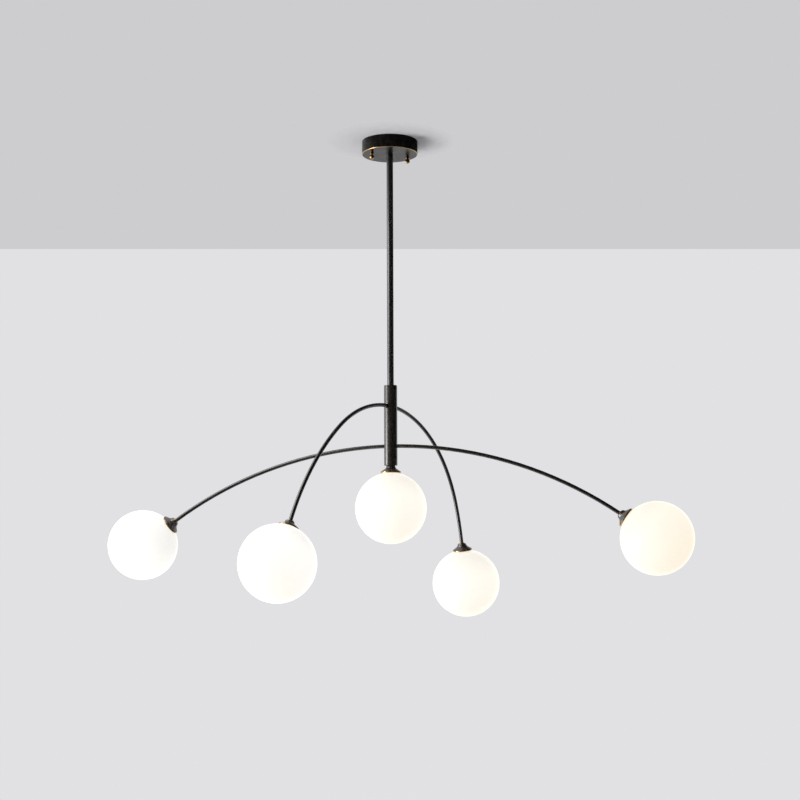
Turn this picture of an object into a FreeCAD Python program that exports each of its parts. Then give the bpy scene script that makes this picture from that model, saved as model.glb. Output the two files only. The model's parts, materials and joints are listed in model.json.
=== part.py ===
"""Branch chandelier: two bent tubes cross a hub and carry five opal globes.

Millimetres.  Z is up and zero at the ceiling, X runs along the long arch.
Each lamp head is drawn about its own Z axis, with the centre of its globe at zero: a "reach" is a
distance from that centre back along the arm.
"""
import FreeCAD, Part
import Sketcher

import math
import os

Vector = FreeCAD.Vector
Rotation = FreeCAD.Rotation
Placement = FreeCAD.Placement

# ---------------------------------------------------------------------------
# Driving dimensions
# ---------------------------------------------------------------------------
SIZES = {
    # canopy: a spun cup that hides the bracket
    "canopy_radius": 60.0,
    "canopy_height": 28.5,
    "canopy_wall": 1.5,
    "canopy_edge": 1.2,
    "canopy_bend": 1.2,
    "canopy_hole": 7.5,
    # ceiling bracket: a strap with two feet and a dropped middle
    "bracket_azimuth": 36.5,
    "strap_width": 20.0,
    "strap_thick": 2.0,
    "strap_half": 52.0,
    "strap_corner": 6.0,
    "fold_inside": 1.0,
    "foot_start": 25.0,
    "drop_half": 19.0,
    "drop_depth": 17.0,
    "slant_run": 1.42,
    "ceiling_hole": 2.5,
    "ceiling_hole_at": 30.0,
    "stud_at": 42.0,
    "stud_radius": 2.0,
    "stud_length": 38.0,
    "stud_sink": 0.2,
    "stud_nut_flats": 7.0,
    "stud_nut_thick": 3.2,
    "block_tab_start": 28.5,
    "block_tab_end": 36.0,
    "block_tab_reach": 40.0,
    "earth_tab_start": 28.0,
    "earth_tab_end": 41.0,
    "earth_tab_reach": 23.0,
    "tab_root": 1.0,
    # earth screw, with the ring terminal of the earth lead under its washer
    "earth_inset": 3.5,
    "earth_radius": 2.0,
    "earth_length": 8.0,
    "earth_head": 4.0,
    "earth_head_thick": 2.4,
    "earth_dome": 1.2,
    "washer_face": 5.0,
    "washer_thick": 1.0,
    "lug_radius": 4.2,
    "lug_thick": 0.8,
    "lug_neck": 3.0,
    "lug_barrel": 1.9,
    "lug_start": 5.4,
    "lug_end": 11.8,
    "lug_lap": 1.0,
    # ball nuts
    "ball_radius": 5.2,
    "ball_neck": 4.1,
    "ball_waist": 3.2,
    "ball_nut_height": 15.0,
    "ball_step": 1.2,
    "ball_slope": 0.9,
    "ball_bore_end": 4.0,
    "ball_drill_tip": 3.0,
    # terminal block
    "block_width": 17.0,
    "block_length": 24.0,
    "block_height": 12.0,
    "block_pitch": 8.0,
    "block_entry": 1.7,
    "block_notch": 1.6,
    "block_notch_deep": 3.0,
    "block_well": 2.1,
    "block_well_side": 4.76,
    "block_well_floor": 1.9,
    "clamp_radius": 1.8,
    "clamp_length": 3.4,
    "clamp_sink": 0.4,
    "block_centre_out": 27.5,
    "block_centre_side": 27.0,
    # down rod and its hollow screws
    "stem_radius": 7.0,
    "stem_bore": 5.8,
    "stem_top": 23.2,
    "nipple_radius": 4.95,
    "nipple_bore": 3.2,
    "nipple_stand": 1.0,
    "nipple_gap": 2.0,
    "plug_length": 15.0,
    "pipe_nut_flats": 14.0,
    "pipe_nut_thick": 4.0,
    "pipe_washer": 9.0,
    # hub
    "hub_top": 533.0,
    "hub_length": 170.0,
    "hub_radius": 14.0,
    "hub_bore": 12.0,
    "hub_cap": 3.0,
    "hub_spigot": 4.0,
    "hub_chamfer": 0.5,
    "cross_hole": 4.6,
    "long_sag": 0.06,
    "short_sag": 0.33,
    "set_screw": 2.0,
    "set_screw_sink": 0.4,
    "set_screw_socket": 1.15,
    "set_screw_socket_deep": 2.2,
    # arms
    "arm_radius": 4.0,
    "arm_bore": 3.0,
    "slot_length": 10.0,
    "slot_width": 3.6,
    "long_depth": 662.0,
    "long_bend": 833.0,
    "long_angle": 34.8,
    "short_depth": 577.0,
    "short_azimuth": 69.2,
    "crown_bend": 293.0,
    "crown_shift": 9.9,
    "leg_bend": 551.0,
    "front_crown_angle": 36.7,
    "front_end_angle": 63.9,
    "back_crown_angle": 68.8,
    "back_end_angle": 78.8,
    # lamp heads
    "arm_reach": 91.0,
    "ring_radius": 6.6,
    "ring_thick": 1.4,
    "thread_radius": 3.95,
    "thread_bore": 1.9,
    "thread_end": 81.4,
    "thread_in_arm": 8.0,
    "small_nut_flats": 12.0,
    "cup_nut_thick": 3.0,
    "lower_nut_thick": 3.2,
    "nipple_past_nut": 5.0,
    "cup_top": 7.7,
    "cup_shoulder": 9.2,
    "cup_waist": 9.8,
    "cup_waist_reach": 86.8,
    "cup_flare": 13.2,
    "cup_flare_reach": 82.0,
    "cup_flare_bend": 9.0,
    "cup_rim": 20.2,
    "cup_rim_reach": 77.4,
    "cup_lip": 21.3,
    "cup_lip_reach": 72.8,
    "cup_well": 19.2,
    "cup_edge": 1.8,
    "cup_bead": 0.8,
    "cup_bead_rise": 1.2,
    "cup_break": 0.4,
    "cup_step": 1.4,
    "seat_reach": 75.6,
    "neck_bore_top": 80.6,
    "cavity_radius": 7.9,
    "cavity_top": 87.8,
    "cavity_flare": 0.5,
    "cavity_depth": 3.4,
    "globe_radius": 75.0,
    "globe_wall": 2.8,
    "neck_radius": 12.6,
    "neck_bore": 10.2,
    "neck_reach": 80.3,
    "neck_root": 60.0,
    "mouth_root": 40.0,
    "mouth_length": 60.0,
    "seal_inner": 13.6,
    "seal_outer": 18.6,
    "seal_thick": 1.25,
    "plate_radius": 7.2,
    "plate_thick": 1.2,
    "holder_radius": 8.3,
    "holder_top": 82.0,
    "holder_bottom": 62.5,
    "holder_edge": 0.6,
    "holder_step": 1.0,
    "holder_step_end": 3.5,
    "holder_step_start": 4.5,
    "recess_room": 0.5,
    "recess_floor": 80.8,
    "pin_half": 4.5,
    "pin_radius": 0.85,
    "pin_length": 11.0,
    "pin_room": 0.45,
    "pin_spare": 1.5,
    "pin_root": 0.5,
    "bulb_radius": 8.0,
    "bulb_tip": 17.0,
    "bulb_tip_bend": 8.4,
    "bulb_shoulder": 7.0,
    "bulb_collar": 8.4,
    "collar_start": 11.0,
    "collar_slope": 1.0,
    "collar_end": 5.0,
    "bulb_waist": 7.4,
    "waist_start": 3.5,
    # leads
    "lead_radius": 1.1,
    "stem_lead_radius": 2.1,
    "earth_lead_radius": 1.25,
    "lead_aside": 1.5,
    "lead_turn": 4.5,
    "connector_radius": 4.5,
    "connector_length": 14.0,
    "connector_slope": 1.0,
    "connector_above": 15.0,
    # broken edges and clearances
    "small_break": 0.3,
    "thread_gap": 0.03,
    "fixed_gap": 0.05,
    "running_gap": 0.08,
    "seat_gap": 0.1,
    "pass_gap": 0.15,
    "free_gap": 0.3,
}

doc = FreeCAD.newDocument("branch_chandelier")
dims = doc.addObject("Spreadsheet::Sheet", "dims")
for row, (alias, number) in enumerate(SIZES.items(), start=1):
    dims.set("A%d" % row, alias.replace("_", " "))
    dims.set("B%d" % row, str(number))
    dims.setAlias("B%d" % row, alias)
doc.recompute()


class Size:
    """A number worked out from the sheet, together with the formula that gives it."""

    def __init__(self, value, formula):
        self.value = float(value)
        self.formula = formula

    def __add__(self, other):
        other = as_size(other)
        return Size(self.value + other.value, "(%s + %s)" % (self.formula, other.formula))

    def __sub__(self, other):
        other = as_size(other)
        return Size(self.value - other.value, "(%s - %s)" % (self.formula, other.formula))

    def __mul__(self, other):
        other = as_size(other)
        return Size(self.value * other.value, "(%s * %s)" % (self.formula, other.formula))

    def __truediv__(self, other):
        other = as_size(other)
        return Size(self.value / other.value, "(%s / %s)" % (self.formula, other.formula))

    def __neg__(self):
        return Size(-self.value, "(-1 * %s)" % self.formula)

    def __radd__(self, other):
        return as_size(other) + self

    def __rsub__(self, other):
        return as_size(other) - self


def as_size(number):
    """A plain number as a Size; a Size stays as it is."""
    if isinstance(number, Size):
        return number
    return Size(number, "(%r)" % float(number))


class Sheet:
    """Each alias of the sheet as a Size."""


D = Sheet()
for alias in SIZES:
    setattr(D, alias, Size(dims.get(alias), "dims." + alias))


def sine(angle):
    """Sine of an angle in degrees."""
    return Size(math.sin(math.radians(angle.value)), "sin(%s)" % angle.formula)


def cosine(angle):
    """Cosine of an angle in degrees."""
    return Size(math.cos(math.radians(angle.value)), "cos(%s)" % angle.formula)


def root(area):
    """Square root."""
    return Size(math.sqrt(area.value), "sqrt(%s)" % area.formula)


def bind(thing, field, size):
    """Tie one property to the sheet."""
    thing.setExpression(field, as_size(size).formula)


# ---------------------------------------------------------------------------
# Sketch and feature helpers
# ---------------------------------------------------------------------------
nodes = []


def keep(thing, place=None):
    """Count a finished piece as one node, and put it in its place."""
    thing.Label = thing.Name
    if place is not None:
        thing.Placement = place
    nodes.append(thing)
    return thing


def new_body(name):
    return doc.addObject("PartDesign::Body", name)


def origin_plane(body, role):
    return [feature for feature in body.Origin.OriginFeatures if feature.Role == role][0]


def sketch_on(body, role, title, offset=None):
    """An empty sketch on one of the body's own origin planes."""
    sketch = body.newObject("Sketcher::SketchObject", "%s_%s" % (body.Name, title))
    sketch.AttachmentSupport = [(origin_plane(body, role), "")]
    sketch.MapMode = "FlatFace"
    if offset is not None:
        sketch.AttachmentOffset = offset
    return sketch


def hold(sketch, kind, first, second, size):
    """One dimension from the sketch's origin to a point, or along an axis if it is zero."""
    if abs(size.value) < 1e-9:
        axis = -2 if kind == "DistanceX" else -1
        sketch.addConstraint(Sketcher.Constraint("PointOnObject", first, second, axis))
        return
    index = sketch.addConstraint(Sketcher.Constraint(kind, -1, 1, first, second, size.value))
    bind(sketch, "Constraints[%d]" % index, size)


def chain(sketch, corners, closed=True):
    """Lines and arcs through corners given as (across, up) or (across, up, bend).

    A bend is the radius of the edge that leaves the corner.  It turns left if it is positive and
    right if it is negative.
    """
    count = len(corners)
    edges = []
    for index in range(count if closed else count - 1):
        start = corners[index]
        finish = corners[(index + 1) % count]
        a = Vector(as_size(start[0]).value, as_size(start[1]).value, 0)
        b = Vector(as_size(finish[0]).value, as_size(finish[1]).value, 0)
        if len(start) == 2:
            edge = sketch.addGeometry(Part.LineSegment(a, b), False)
            edges.append((edge, 1, 2))
            continue
        bend = as_size(start[2])
        half = (b - a) * 0.5
        side = Vector(-half.y, half.x, 0).normalize()
        height = math.sqrt(bend.value ** 2 - half.Length ** 2)
        middle = a + half + side * math.copysign(height, bend.value)
        angle_a = math.atan2(a.y - middle.y, a.x - middle.x)
        angle_b = math.atan2(b.y - middle.y, b.x - middle.x)
        circle = Part.Circle(middle, Vector(0, 0, 1), abs(bend.value))
        if bend.value > 0:
            edge = sketch.addGeometry(Part.ArcOfCircle(circle, angle_a, angle_b), False)
            edges.append((edge, 1, 2))
        else:
            edge = sketch.addGeometry(Part.ArcOfCircle(circle, angle_b, angle_a), False)
            edges.append((edge, 2, 1))
    for index, (edge, first, last) in enumerate(edges):
        following = edges[(index + 1) % len(edges)]
        if closed or index < len(edges) - 1:
            sketch.addConstraint(
                Sketcher.Constraint("Coincident", edge, last, following[0], following[1]))
        hold(sketch, "DistanceX", edge, first, as_size(corners[index][0]))
        hold(sketch, "DistanceY", edge, first, as_size(corners[index][1]))
        if len(corners[index]) == 3:
            bend = as_size(corners[index][2])
            size = bend if bend.value > 0 else -bend
            radius = sketch.addConstraint(Sketcher.Constraint("Radius", edge, size.value))
            bind(sketch, "Constraints[%d]" % radius, size)
    return sketch


def ring(sketch, across, up, radius):
    """One circle in a sketch, with its centre and radius bound."""
    across = as_size(across)
    up = as_size(up)
    radius = as_size(radius)
    centre = Vector(across.value, up.value, 0)
    edge = sketch.addGeometry(Part.Circle(centre, Vector(0, 0, 1), radius.value), False)
    hold(sketch, "DistanceX", edge, 3, across)
    hold(sketch, "DistanceY", edge, 3, up)
    index = sketch.addConstraint(Sketcher.Constraint("Radius", edge, radius.value))
    bind(sketch, "Constraints[%d]" % index, radius)


def box_outline(sketch, left, right, low, high):
    return chain(sketch, [(left, low), (right, low), (right, high), (left, high)])


def spin(body, sketch, title="spin"):
    """Revolve a section about the sketch's upright axis."""
    turn = body.newObject("PartDesign::Revolution", "%s_%s" % (body.Name, title))
    turn.Profile = sketch
    turn.ReferenceAxis = (sketch, ["V_Axis"])
    turn.Angle = 360.0
    return turn


def turned(name, corners):
    """A lathe-turned piece, from an outline of (radius, height) corners."""
    body = new_body(name)
    spin(body, chain(sketch_on(body, "XZ_Plane", "section"), corners))
    return body


def tube(name, outer, inner, low, high):
    """A plain round tube or collar standing on Z."""
    return turned(name, [(inner, low), (outer, low), (outer, high), (inner, high)])


def pad(body, sketch, length, title="pad", both_ways=False, reverse=False):
    boss = body.newObject("PartDesign::Pad", "%s_%s" % (body.Name, title))
    boss.Profile = sketch
    if both_ways:
        boss.SideType = "Symmetric"
    bind(boss, "Length", length)
    boss.Reversed = reverse
    return boss


def cut(body, sketch, title, length=None, reverse=False):
    """A pocket: right through both ways, or to a length one way.  It must remove material."""
    doc.recompute()
    before = body.Shape.Volume
    pocket = body.newObject("PartDesign::Pocket", "%s_%s" % (body.Name, title))
    pocket.Profile = sketch
    if length is None:
        pocket.SideType = "Symmetric"
        pocket.Type = "ThroughAll"
    else:
        pocket.Type = "Length"
        bind(pocket, "Length", length)
        pocket.Reversed = reverse
    doc.recompute()
    if body.Shape.Volume > before - 1e-3:
        raise RuntimeError("%s %s cuts nothing" % (body.Name, title))
    return pocket


def fillet(body, title, radius, wanted):
    """Round each edge that the test picks."""
    doc.recompute()
    tip = body.Tip
    names = []
    for index, edge in enumerate(tip.Shape.Edges, start=1):
        if wanted(edge):
            names.append("Edge%d" % index)
    feature = body.newObject("PartDesign::Fillet", "%s_%s" % (body.Name, title))
    feature.Base = (tip, names)
    bind(feature, "Radius", radius)
    return feature


def cylinder(name, radius, height, base=0.0):
    """A round bar standing on Z."""
    rod = doc.addObject("Part::Cylinder", name)
    bind(rod, "Radius", radius)
    bind(rod, "Height", height)
    bind(rod, "Placement.Base.z", base)
    return rod


def subtract(name, base, tool):
    difference = doc.addObject("Part::Cut", name)
    difference.Base = base
    difference.Tool = tool
    return difference


def drilled(name, blank, hole, thickness, base):
    """The blank with a round hole on Z that runs past both of its faces."""
    past = 1.0
    bore = cylinder(name + "_bore", hole, thickness + past * 2.0, base - past)
    return subtract(name, blank, bore)


def hex_nut(name, across_flats, thickness, hole, base):
    """A hexagon nut on Z."""
    blank = doc.addObject("Part::Prism", name + "_blank")
    blank.Polygon = 6
    bind(blank, "Circumradius", across_flats / math.sqrt(3.0))
    bind(blank, "Height", thickness)
    bind(blank, "Placement.Base.z", base)
    return drilled(name, blank, hole, thickness, base)


def group(name, members, place=None):
    """Alike pieces that share one node, as separate solids."""
    together = doc.addObject("Part::Compound", name)
    together.Links = members
    return keep(together, place)


# ---------------------------------------------------------------------------
# Places
# ---------------------------------------------------------------------------
X_AXIS = Vector(1, 0, 0)
Y_AXIS = Vector(0, 1, 0)
Z_AXIS = Vector(0, 0, 1)


def up_at(height, azimuth=0.0):
    """Upright, at a height and turned about Z."""
    return Placement(Vector(0, 0, height), Rotation(Z_AXIS, azimuth))


BRACKET = up_at(0.0, D.bracket_azimuth.value)
hub_bottom = D.hub_top + D.hub_length


class Span:
    """One arc of an arch in its own plane; angles run from the vertical, plus to the right."""

    def __init__(self, across, up, bend, start, finish):
        self.across = as_size(across)
        self.up = as_size(up)
        self.bend = as_size(bend)
        self.start = as_size(start)
        self.finish = as_size(finish)

    def point(self, angle):
        return (self.across.value + self.bend.value * math.sin(math.radians(angle)),
                self.up.value + self.bend.value * math.cos(math.radians(angle)))


def leg(crown, angle, end_angle):
    """A flatter arc that goes on, tangent, from the crown at the given angle."""
    slack = D.leg_bend - crown.bend
    across = crown.across - slack * sine(angle)
    up = crown.up - slack * cosine(angle)
    if end_angle.value < angle.value:
        return Span(across, up, D.leg_bend, end_angle, angle)
    return Span(across, up, D.leg_bend, angle, end_angle)


long_spans = [Span(0.0, -D.long_bend, D.long_bend, -D.long_angle, D.long_angle)]
crown_rise = root(D.crown_bend * D.crown_bend - D.crown_shift * D.crown_shift)
crown = Span(-D.crown_shift, -crown_rise, D.crown_bend, -D.front_crown_angle, D.back_crown_angle)
short_spans = [
    leg(crown, -D.front_crown_angle, -D.front_end_angle),
    crown,
    leg(crown, D.back_crown_angle, D.back_end_angle),
]
LONG_PLACE = up_at(-D.long_depth.value)
SHORT_PLACE = up_at(-D.short_depth.value, D.short_azimuth.value)


def head_place(arch_place, span, angle):
    """Where the globe at one end of an arch is: its centre, with Z pointing back up the arm."""
    across, up = span.point(angle)
    way_on = math.copysign(1.0, angle)
    along = Vector(way_on * math.cos(math.radians(angle)), 0,
                   -way_on * math.sin(math.radians(angle)))
    centre = Vector(across, 0, up) + along * D.arm_reach.value
    tilt = angle - way_on * 90.0
    return arch_place.multiply(Placement(centre, Rotation(Y_AXIS, tilt)))


centre_depth = hub_bottom + D.arm_reach - D.ring_thick
HEADS = {
    "left": head_place(LONG_PLACE, long_spans[0], -D.long_angle.value),
    "right": head_place(LONG_PLACE, long_spans[0], D.long_angle.value),
    "front": head_place(SHORT_PLACE, short_spans[0], -D.front_end_angle.value),
    "back": head_place(SHORT_PLACE, short_spans[2], D.back_end_angle.value),
    "centre": up_at(-centre_depth.value),
}

# ---------------------------------------------------------------------------
# Ceiling bracket, studs, earth screw and terminal strip
# ---------------------------------------------------------------------------
under_foot = -D.strap_thick
middle_top = -D.drop_depth
middle_under = middle_top - D.strap_thick
earth_across = (D.earth_tab_start + D.earth_tab_end) / -2.0
earth_side = D.earth_inset - D.earth_tab_reach
lug_axis = under_foot - D.lug_barrel - D.fixed_gap
EARTH = Placement(Vector(earth_across.value, earth_side.value, 0), Rotation())
BLOCK = Placement(Vector(D.block_centre_out.value, D.block_centre_side.value,
                         under_foot.value), Rotation())
POLES = (-1.0, 0.0, 1.0)
NEAR = 0.01


def ceiling_bracket():
    """A folded steel strap: two feet on the ceiling and a dropped middle for the down rod."""
    body = new_body("ceiling_bracket")
    side = sketch_on(body, "XZ_Plane", "side")
    chain(side, [
        (-D.strap_half, 0.0),
        (-D.strap_half, under_foot),
        (-D.foot_start - D.slant_run, under_foot),
        (-D.drop_half - D.slant_run, middle_under),
        (D.drop_half + D.slant_run, middle_under),
        (D.foot_start + D.slant_run, under_foot),
        (D.strap_half, under_foot),
        (D.strap_half, 0.0),
        (D.foot_start, 0.0),
        (D.drop_half, middle_top),
        (-D.drop_half, middle_top),
        (-D.foot_start, 0.0),
    ])
    pad(body, side, D.strap_width, "strap", both_ways=True)
    fillet(body, "ends", D.strap_corner, end_corner)
    fillet(body, "inner_folds", D.fold_inside, inner_fold)
    fillet(body, "outer_folds", D.fold_inside + D.strap_thick, outer_fold)
    edge = D.strap_width / 2.0
    tabs = sketch_on(body, "XY_Plane", "block_tab")
    box_outline(tabs, D.block_tab_start, D.block_tab_end, edge - D.tab_root, D.block_tab_reach)
    pad(body, tabs, D.strap_thick, "block_tab_pad", reverse=True)
    earth = sketch_on(body, "XY_Plane", "earth_tab")
    box_outline(earth, -D.earth_tab_end, -D.earth_tab_start, -D.earth_tab_reach,
                -edge + D.tab_root)
    pad(body, earth, D.strap_thick, "earth_tab_pad", reverse=True)
    drill = sketch_on(body, "XY_Plane", "holes")
    ring(drill, 0.0, 0.0, D.nipple_radius + D.pass_gap)
    for way in (-1.0, 1.0):
        ring(drill, D.ceiling_hole_at * way, 0.0, D.ceiling_hole)
        ring(drill, D.stud_at * way, 0.0, D.stud_radius + D.fixed_gap)
    ring(drill, earth_across, earth_side, D.earth_radius + D.fixed_gap)
    cut(body, drill, "drilling")
    keep(body, BRACKET)


def end_corner(edge):
    """An upright edge at either end of the strap."""
    box = edge.BoundBox
    at_end = abs(abs(box.Center.x) - D.strap_half.value) < NEAR
    return at_end and box.XLength < NEAR and box.YLength < NEAR


def fold_at(edge, across, up):
    """A straight edge over the strap's whole width, at the given distance out and height."""
    box = edge.BoundBox
    level = box.XLength < NEAR and box.ZLength < NEAR
    placed = abs(abs(box.Center.x) - across.value) < NEAR and abs(box.Center.z - up.value) < NEAR
    return level and placed


def inner_fold(edge):
    """An edge in the hollow side of a fold."""
    return (fold_at(edge, D.foot_start + D.slant_run, under_foot)
            or fold_at(edge, D.drop_half, middle_top))


def outer_fold(edge):
    """An edge round the outside of a fold."""
    return (fold_at(edge, D.foot_start, as_size(0.0))
            or fold_at(edge, D.drop_half + D.slant_run, middle_under))


def bracket_studs():
    """Two M4 studs that hang from the feet and pass through the canopy floor."""
    studs = []
    for name, way in (("stud_left", -1.0), ("stud_right", 1.0)):
        stud = cylinder(name, D.stud_radius, D.stud_length, -D.stud_length - D.stud_sink)
        bind(stud, "Placement.Base.x", D.stud_at * way)
        studs.append(stud)
    group("bracket_studs", studs, BRACKET)


def stud_nuts():
    """A lock nut on each stud, under its foot."""
    nuts = []
    for name, way in (("stud_nut_left", -1.0), ("stud_nut_right", 1.0)):
        nut = hex_nut(name, D.stud_nut_flats, D.stud_nut_thick, D.stud_radius + D.thread_gap,
                      under_foot - D.stud_nut_thick)
        bind(nut, "Placement.Base.x", D.stud_at * way)
        nuts.append(nut)
    group("stud_nuts", nuts, BRACKET)


def earth_screw():
    """A pan-head screw with its washer, which clamps the earth lead's lug to a tab of its own."""
    washer_top = under_foot - D.lug_thick
    washer_under = washer_top - D.washer_thick
    head_under = washer_under - D.earth_head_thick
    tip = under_foot - D.earth_length
    body = turned("earth_screw", [
        (0.0, tip),
        (D.earth_radius, tip),
        (D.earth_radius, head_under),
        (D.earth_head - D.earth_dome, head_under, D.earth_dome),
        (D.earth_head, head_under + D.earth_dome),
        (D.earth_head, washer_under),
        (D.washer_face, washer_under),
        (D.washer_face, washer_top),
        (D.earth_radius, washer_top),
        (D.earth_radius, -D.stud_sink),
        (0.0, -D.stud_sink),
    ])
    keep(body, BRACKET.multiply(EARTH))


def earth_lug():
    """The earth lead's ring terminal: a flat ring, a neck and a crimped barrel."""
    body = new_body("earth_lug")
    plan = sketch_on(body, "XY_Plane", "plan", up_at(under_foot.value))
    ring(plan, 0.0, 0.0, D.lug_radius)
    ring(plan, 0.0, 0.0, D.earth_radius + D.fixed_gap)
    pad(body, plan, D.lug_thick, "eye", reverse=True)
    neck = sketch_on(body, "XY_Plane", "neck", up_at(under_foot.value))
    box_outline(neck, D.lug_neck, D.lug_start + D.lug_lap, -D.lug_barrel, D.lug_barrel)
    pad(body, neck, D.lug_thick, "neck_pad", reverse=True)
    barrel = sketch_on(body, "YZ_Plane", "barrel", Placement(Vector(0, 0, D.lug_start.value),
                                                             Rotation()))
    ring(barrel, 0.0, lug_axis, D.lug_barrel)
    pad(body, barrel, D.lug_end - D.lug_start, "barrel_pad")
    keep(body, BRACKET.multiply(EARTH))


def terminal_block():
    """A three-way screw terminal strip under its tab of the bracket."""
    body = new_body("terminal_block")
    plan = sketch_on(body, "XY_Plane", "plan")
    half = D.block_width / 2.0
    box_outline(plan, -half, half, D.block_length / -2.0, D.block_length / 2.0)
    pad(body, plan, D.block_height, "moulding", reverse=True)
    entries = sketch_on(body, "YZ_Plane", "entries")
    for pole in POLES:
        ring(entries, D.block_pitch * pole, D.block_height / -2.0, D.block_entry)
    cut(body, entries, "wire_ways")
    under = Placement(Vector(0, 0, -D.block_height.value), Rotation())
    wells = sketch_on(body, "XY_Plane", "wells", under)
    for pole in POLES:
        for way in (-1.0, 1.0):
            ring(wells, D.block_well_side * way, D.block_pitch * pole, D.block_well)
    cut(body, wells, "screw_wells", D.block_height / 2.0 - D.block_well_floor, reverse=True)
    notches = sketch_on(body, "XY_Plane", "notches", under)
    for gap in (-0.5, 0.5):
        box_outline(notches, -half, half, D.block_pitch * gap - D.block_notch / 2.0,
                    D.block_pitch * gap + D.block_notch / 2.0)
    cut(body, notches, "pole_notches", D.block_notch_deep, reverse=True)
    keep(body, BRACKET.multiply(BLOCK))


def terminal_screws():
    """The six clamping screws of the terminal strip."""
    screws = []
    for pole in POLES:
        for way in (-1.0, 1.0):
            screw = cylinder("terminal_screw", D.clamp_radius, D.clamp_length,
                             -D.block_height + D.clamp_sink)
            bind(screw, "Placement.Base.x", D.block_well_side * way)
            bind(screw, "Placement.Base.y", D.block_pitch * pole)
            screws.append(screw)
    group("terminal_screws", screws, BRACKET.multiply(BLOCK))


# ---------------------------------------------------------------------------
# Canopy and its ball nuts
# ---------------------------------------------------------------------------
def canopy_cover():
    """A spun steel cup with a flat floor and a sharp bottom edge."""
    outer = D.canopy_radius
    inner = outer - D.canopy_wall
    body = turned("canopy_cover", [
        (D.canopy_hole, 0.0),
        (outer - D.canopy_edge, 0.0, D.canopy_edge),
        (outer, D.canopy_edge),
        (outer, D.canopy_height),
        (inner, D.canopy_height),
        (inner, D.canopy_wall + D.canopy_bend),
        (inner - D.canopy_bend, D.canopy_wall),
        (D.canopy_hole, D.canopy_wall),
    ])
    holes = sketch_on(body, "XY_Plane", "stud_holes")
    for way in (-1.0, 1.0):
        ring(holes, D.stud_at * way, 0.0, D.stud_radius + D.free_gap)
    cut(body, holes, "stud_drilling")
    keep(body, up_at(-D.canopy_height.value, D.bracket_azimuth.value))


def ball_nut(name, way):
    """A turned brass nut: a short neck, a waist and a ball."""
    ball = D.ball_radius
    waist_up = ball + root(ball * ball - D.ball_waist * D.ball_waist)
    bore = D.stud_radius + D.running_gap
    neck_start = waist_up + D.ball_step
    body = turned(name, [
        (0.0, 0.0, ball),
        (D.ball_waist, waist_up),
        (D.ball_waist, neck_start),
        (D.ball_neck, neck_start + D.ball_slope),
        (D.ball_neck, D.ball_nut_height - D.small_break),
        (D.ball_neck - D.small_break, D.ball_nut_height),
        (bore, D.ball_nut_height),
        (bore, D.ball_bore_end),
        (0.0, D.ball_drill_tip),
    ])
    seat = -(D.canopy_height + D.ball_nut_height + D.fixed_gap)
    keep(body, BRACKET.multiply(Placement(Vector(D.stud_at.value * way, 0, seat.value),
                                          Rotation())))


# ---------------------------------------------------------------------------
# Down rod
# ---------------------------------------------------------------------------
def stem_nipple():
    """The hollow M10 screw that hangs the down rod from the bracket."""
    low = -D.stem_top - D.plug_length + D.nipple_gap
    high = middle_top + D.washer_thick + D.pipe_nut_thick + D.nipple_stand
    keep(tube("stem_nipple", D.nipple_radius, D.nipple_bore, low, high))


def pipe_nut(name, base):
    """A thin M10 nut."""
    return hex_nut(name, D.pipe_nut_flats, D.pipe_nut_thick, D.nipple_radius + D.thread_gap, base)


def stem_nuts():
    """Thin M10 nuts above and below the bracket."""
    upper = pipe_nut("stem_nut_upper", middle_top + D.washer_thick)
    lower = pipe_nut("stem_nut_lower", middle_under - D.pipe_nut_thick)
    group("stem_nuts", [upper, lower])


def stem_washer():
    """A flat washer between the bracket and its upper nut."""
    keep(tube("stem_washer", D.pipe_washer, D.nipple_radius + D.pass_gap,
              middle_top, middle_top + D.washer_thick))


def stem_tube():
    """The down rod."""
    keep(tube("stem_tube", D.stem_radius, D.stem_bore, -D.hub_top, -D.stem_top))


def stem_plugs():
    """Threaded inserts fixed in both ends of the down rod."""
    plugs = []
    for name, base in (("stem_plug_top", -D.stem_top - D.plug_length - D.seat_gap),
                       ("stem_plug_bottom", -D.hub_top + D.seat_gap)):
        blank = cylinder(name + "_blank", D.stem_bore - D.thread_gap, D.plug_length, base)
        plugs.append(drilled(name, blank, D.nipple_radius + D.thread_gap, D.plug_length, base))
    group("stem_plugs", plugs)


# ---------------------------------------------------------------------------
# Hub
# ---------------------------------------------------------------------------
def hub_tube():
    """The hub's barrel, cross-drilled at two heights for the arches."""
    body = new_body("hub_tube")
    plan = sketch_on(body, "XY_Plane", "plan")
    ring(plan, 0.0, 0.0, D.hub_radius)
    ring(plan, 0.0, 0.0, D.hub_bore)
    pad(body, plan, D.hub_length - D.hub_cap * 2.0, "barrel")
    foot = hub_bottom - D.hub_cap
    for title, depth, azimuth, sag in (
            ("long_hole", D.long_depth, 0.0, D.long_sag),
            ("short_hole", D.short_depth, D.short_azimuth.value, D.short_sag)):
        across = Placement(Vector(0, 0, 0), Rotation(Y_AXIS, azimuth + 90.0))
        hole = sketch_on(body, "XZ_Plane", title, across)
        ring(hole, 0.0, foot - depth - sag, D.cross_hole)
        cut(body, hole, title + "_drilling")
    for title, depth, azimuth in (
            ("long_screw", D.long_depth, 90.0),
            ("short_screw", D.short_depth, D.short_azimuth.value + 90.0)):
        across = Placement(Vector(0, 0, 0), Rotation(Y_AXIS, azimuth + 90.0))
        hole = sketch_on(body, "XZ_Plane", title, across)
        ring(hole, 0.0, foot - depth, D.set_screw + D.fixed_gap)
        cut(body, hole, title + "_tapping", D.hub_radius + D.hub_chamfer, reverse=True)
    keep(body, up_at(-foot.value))


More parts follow.
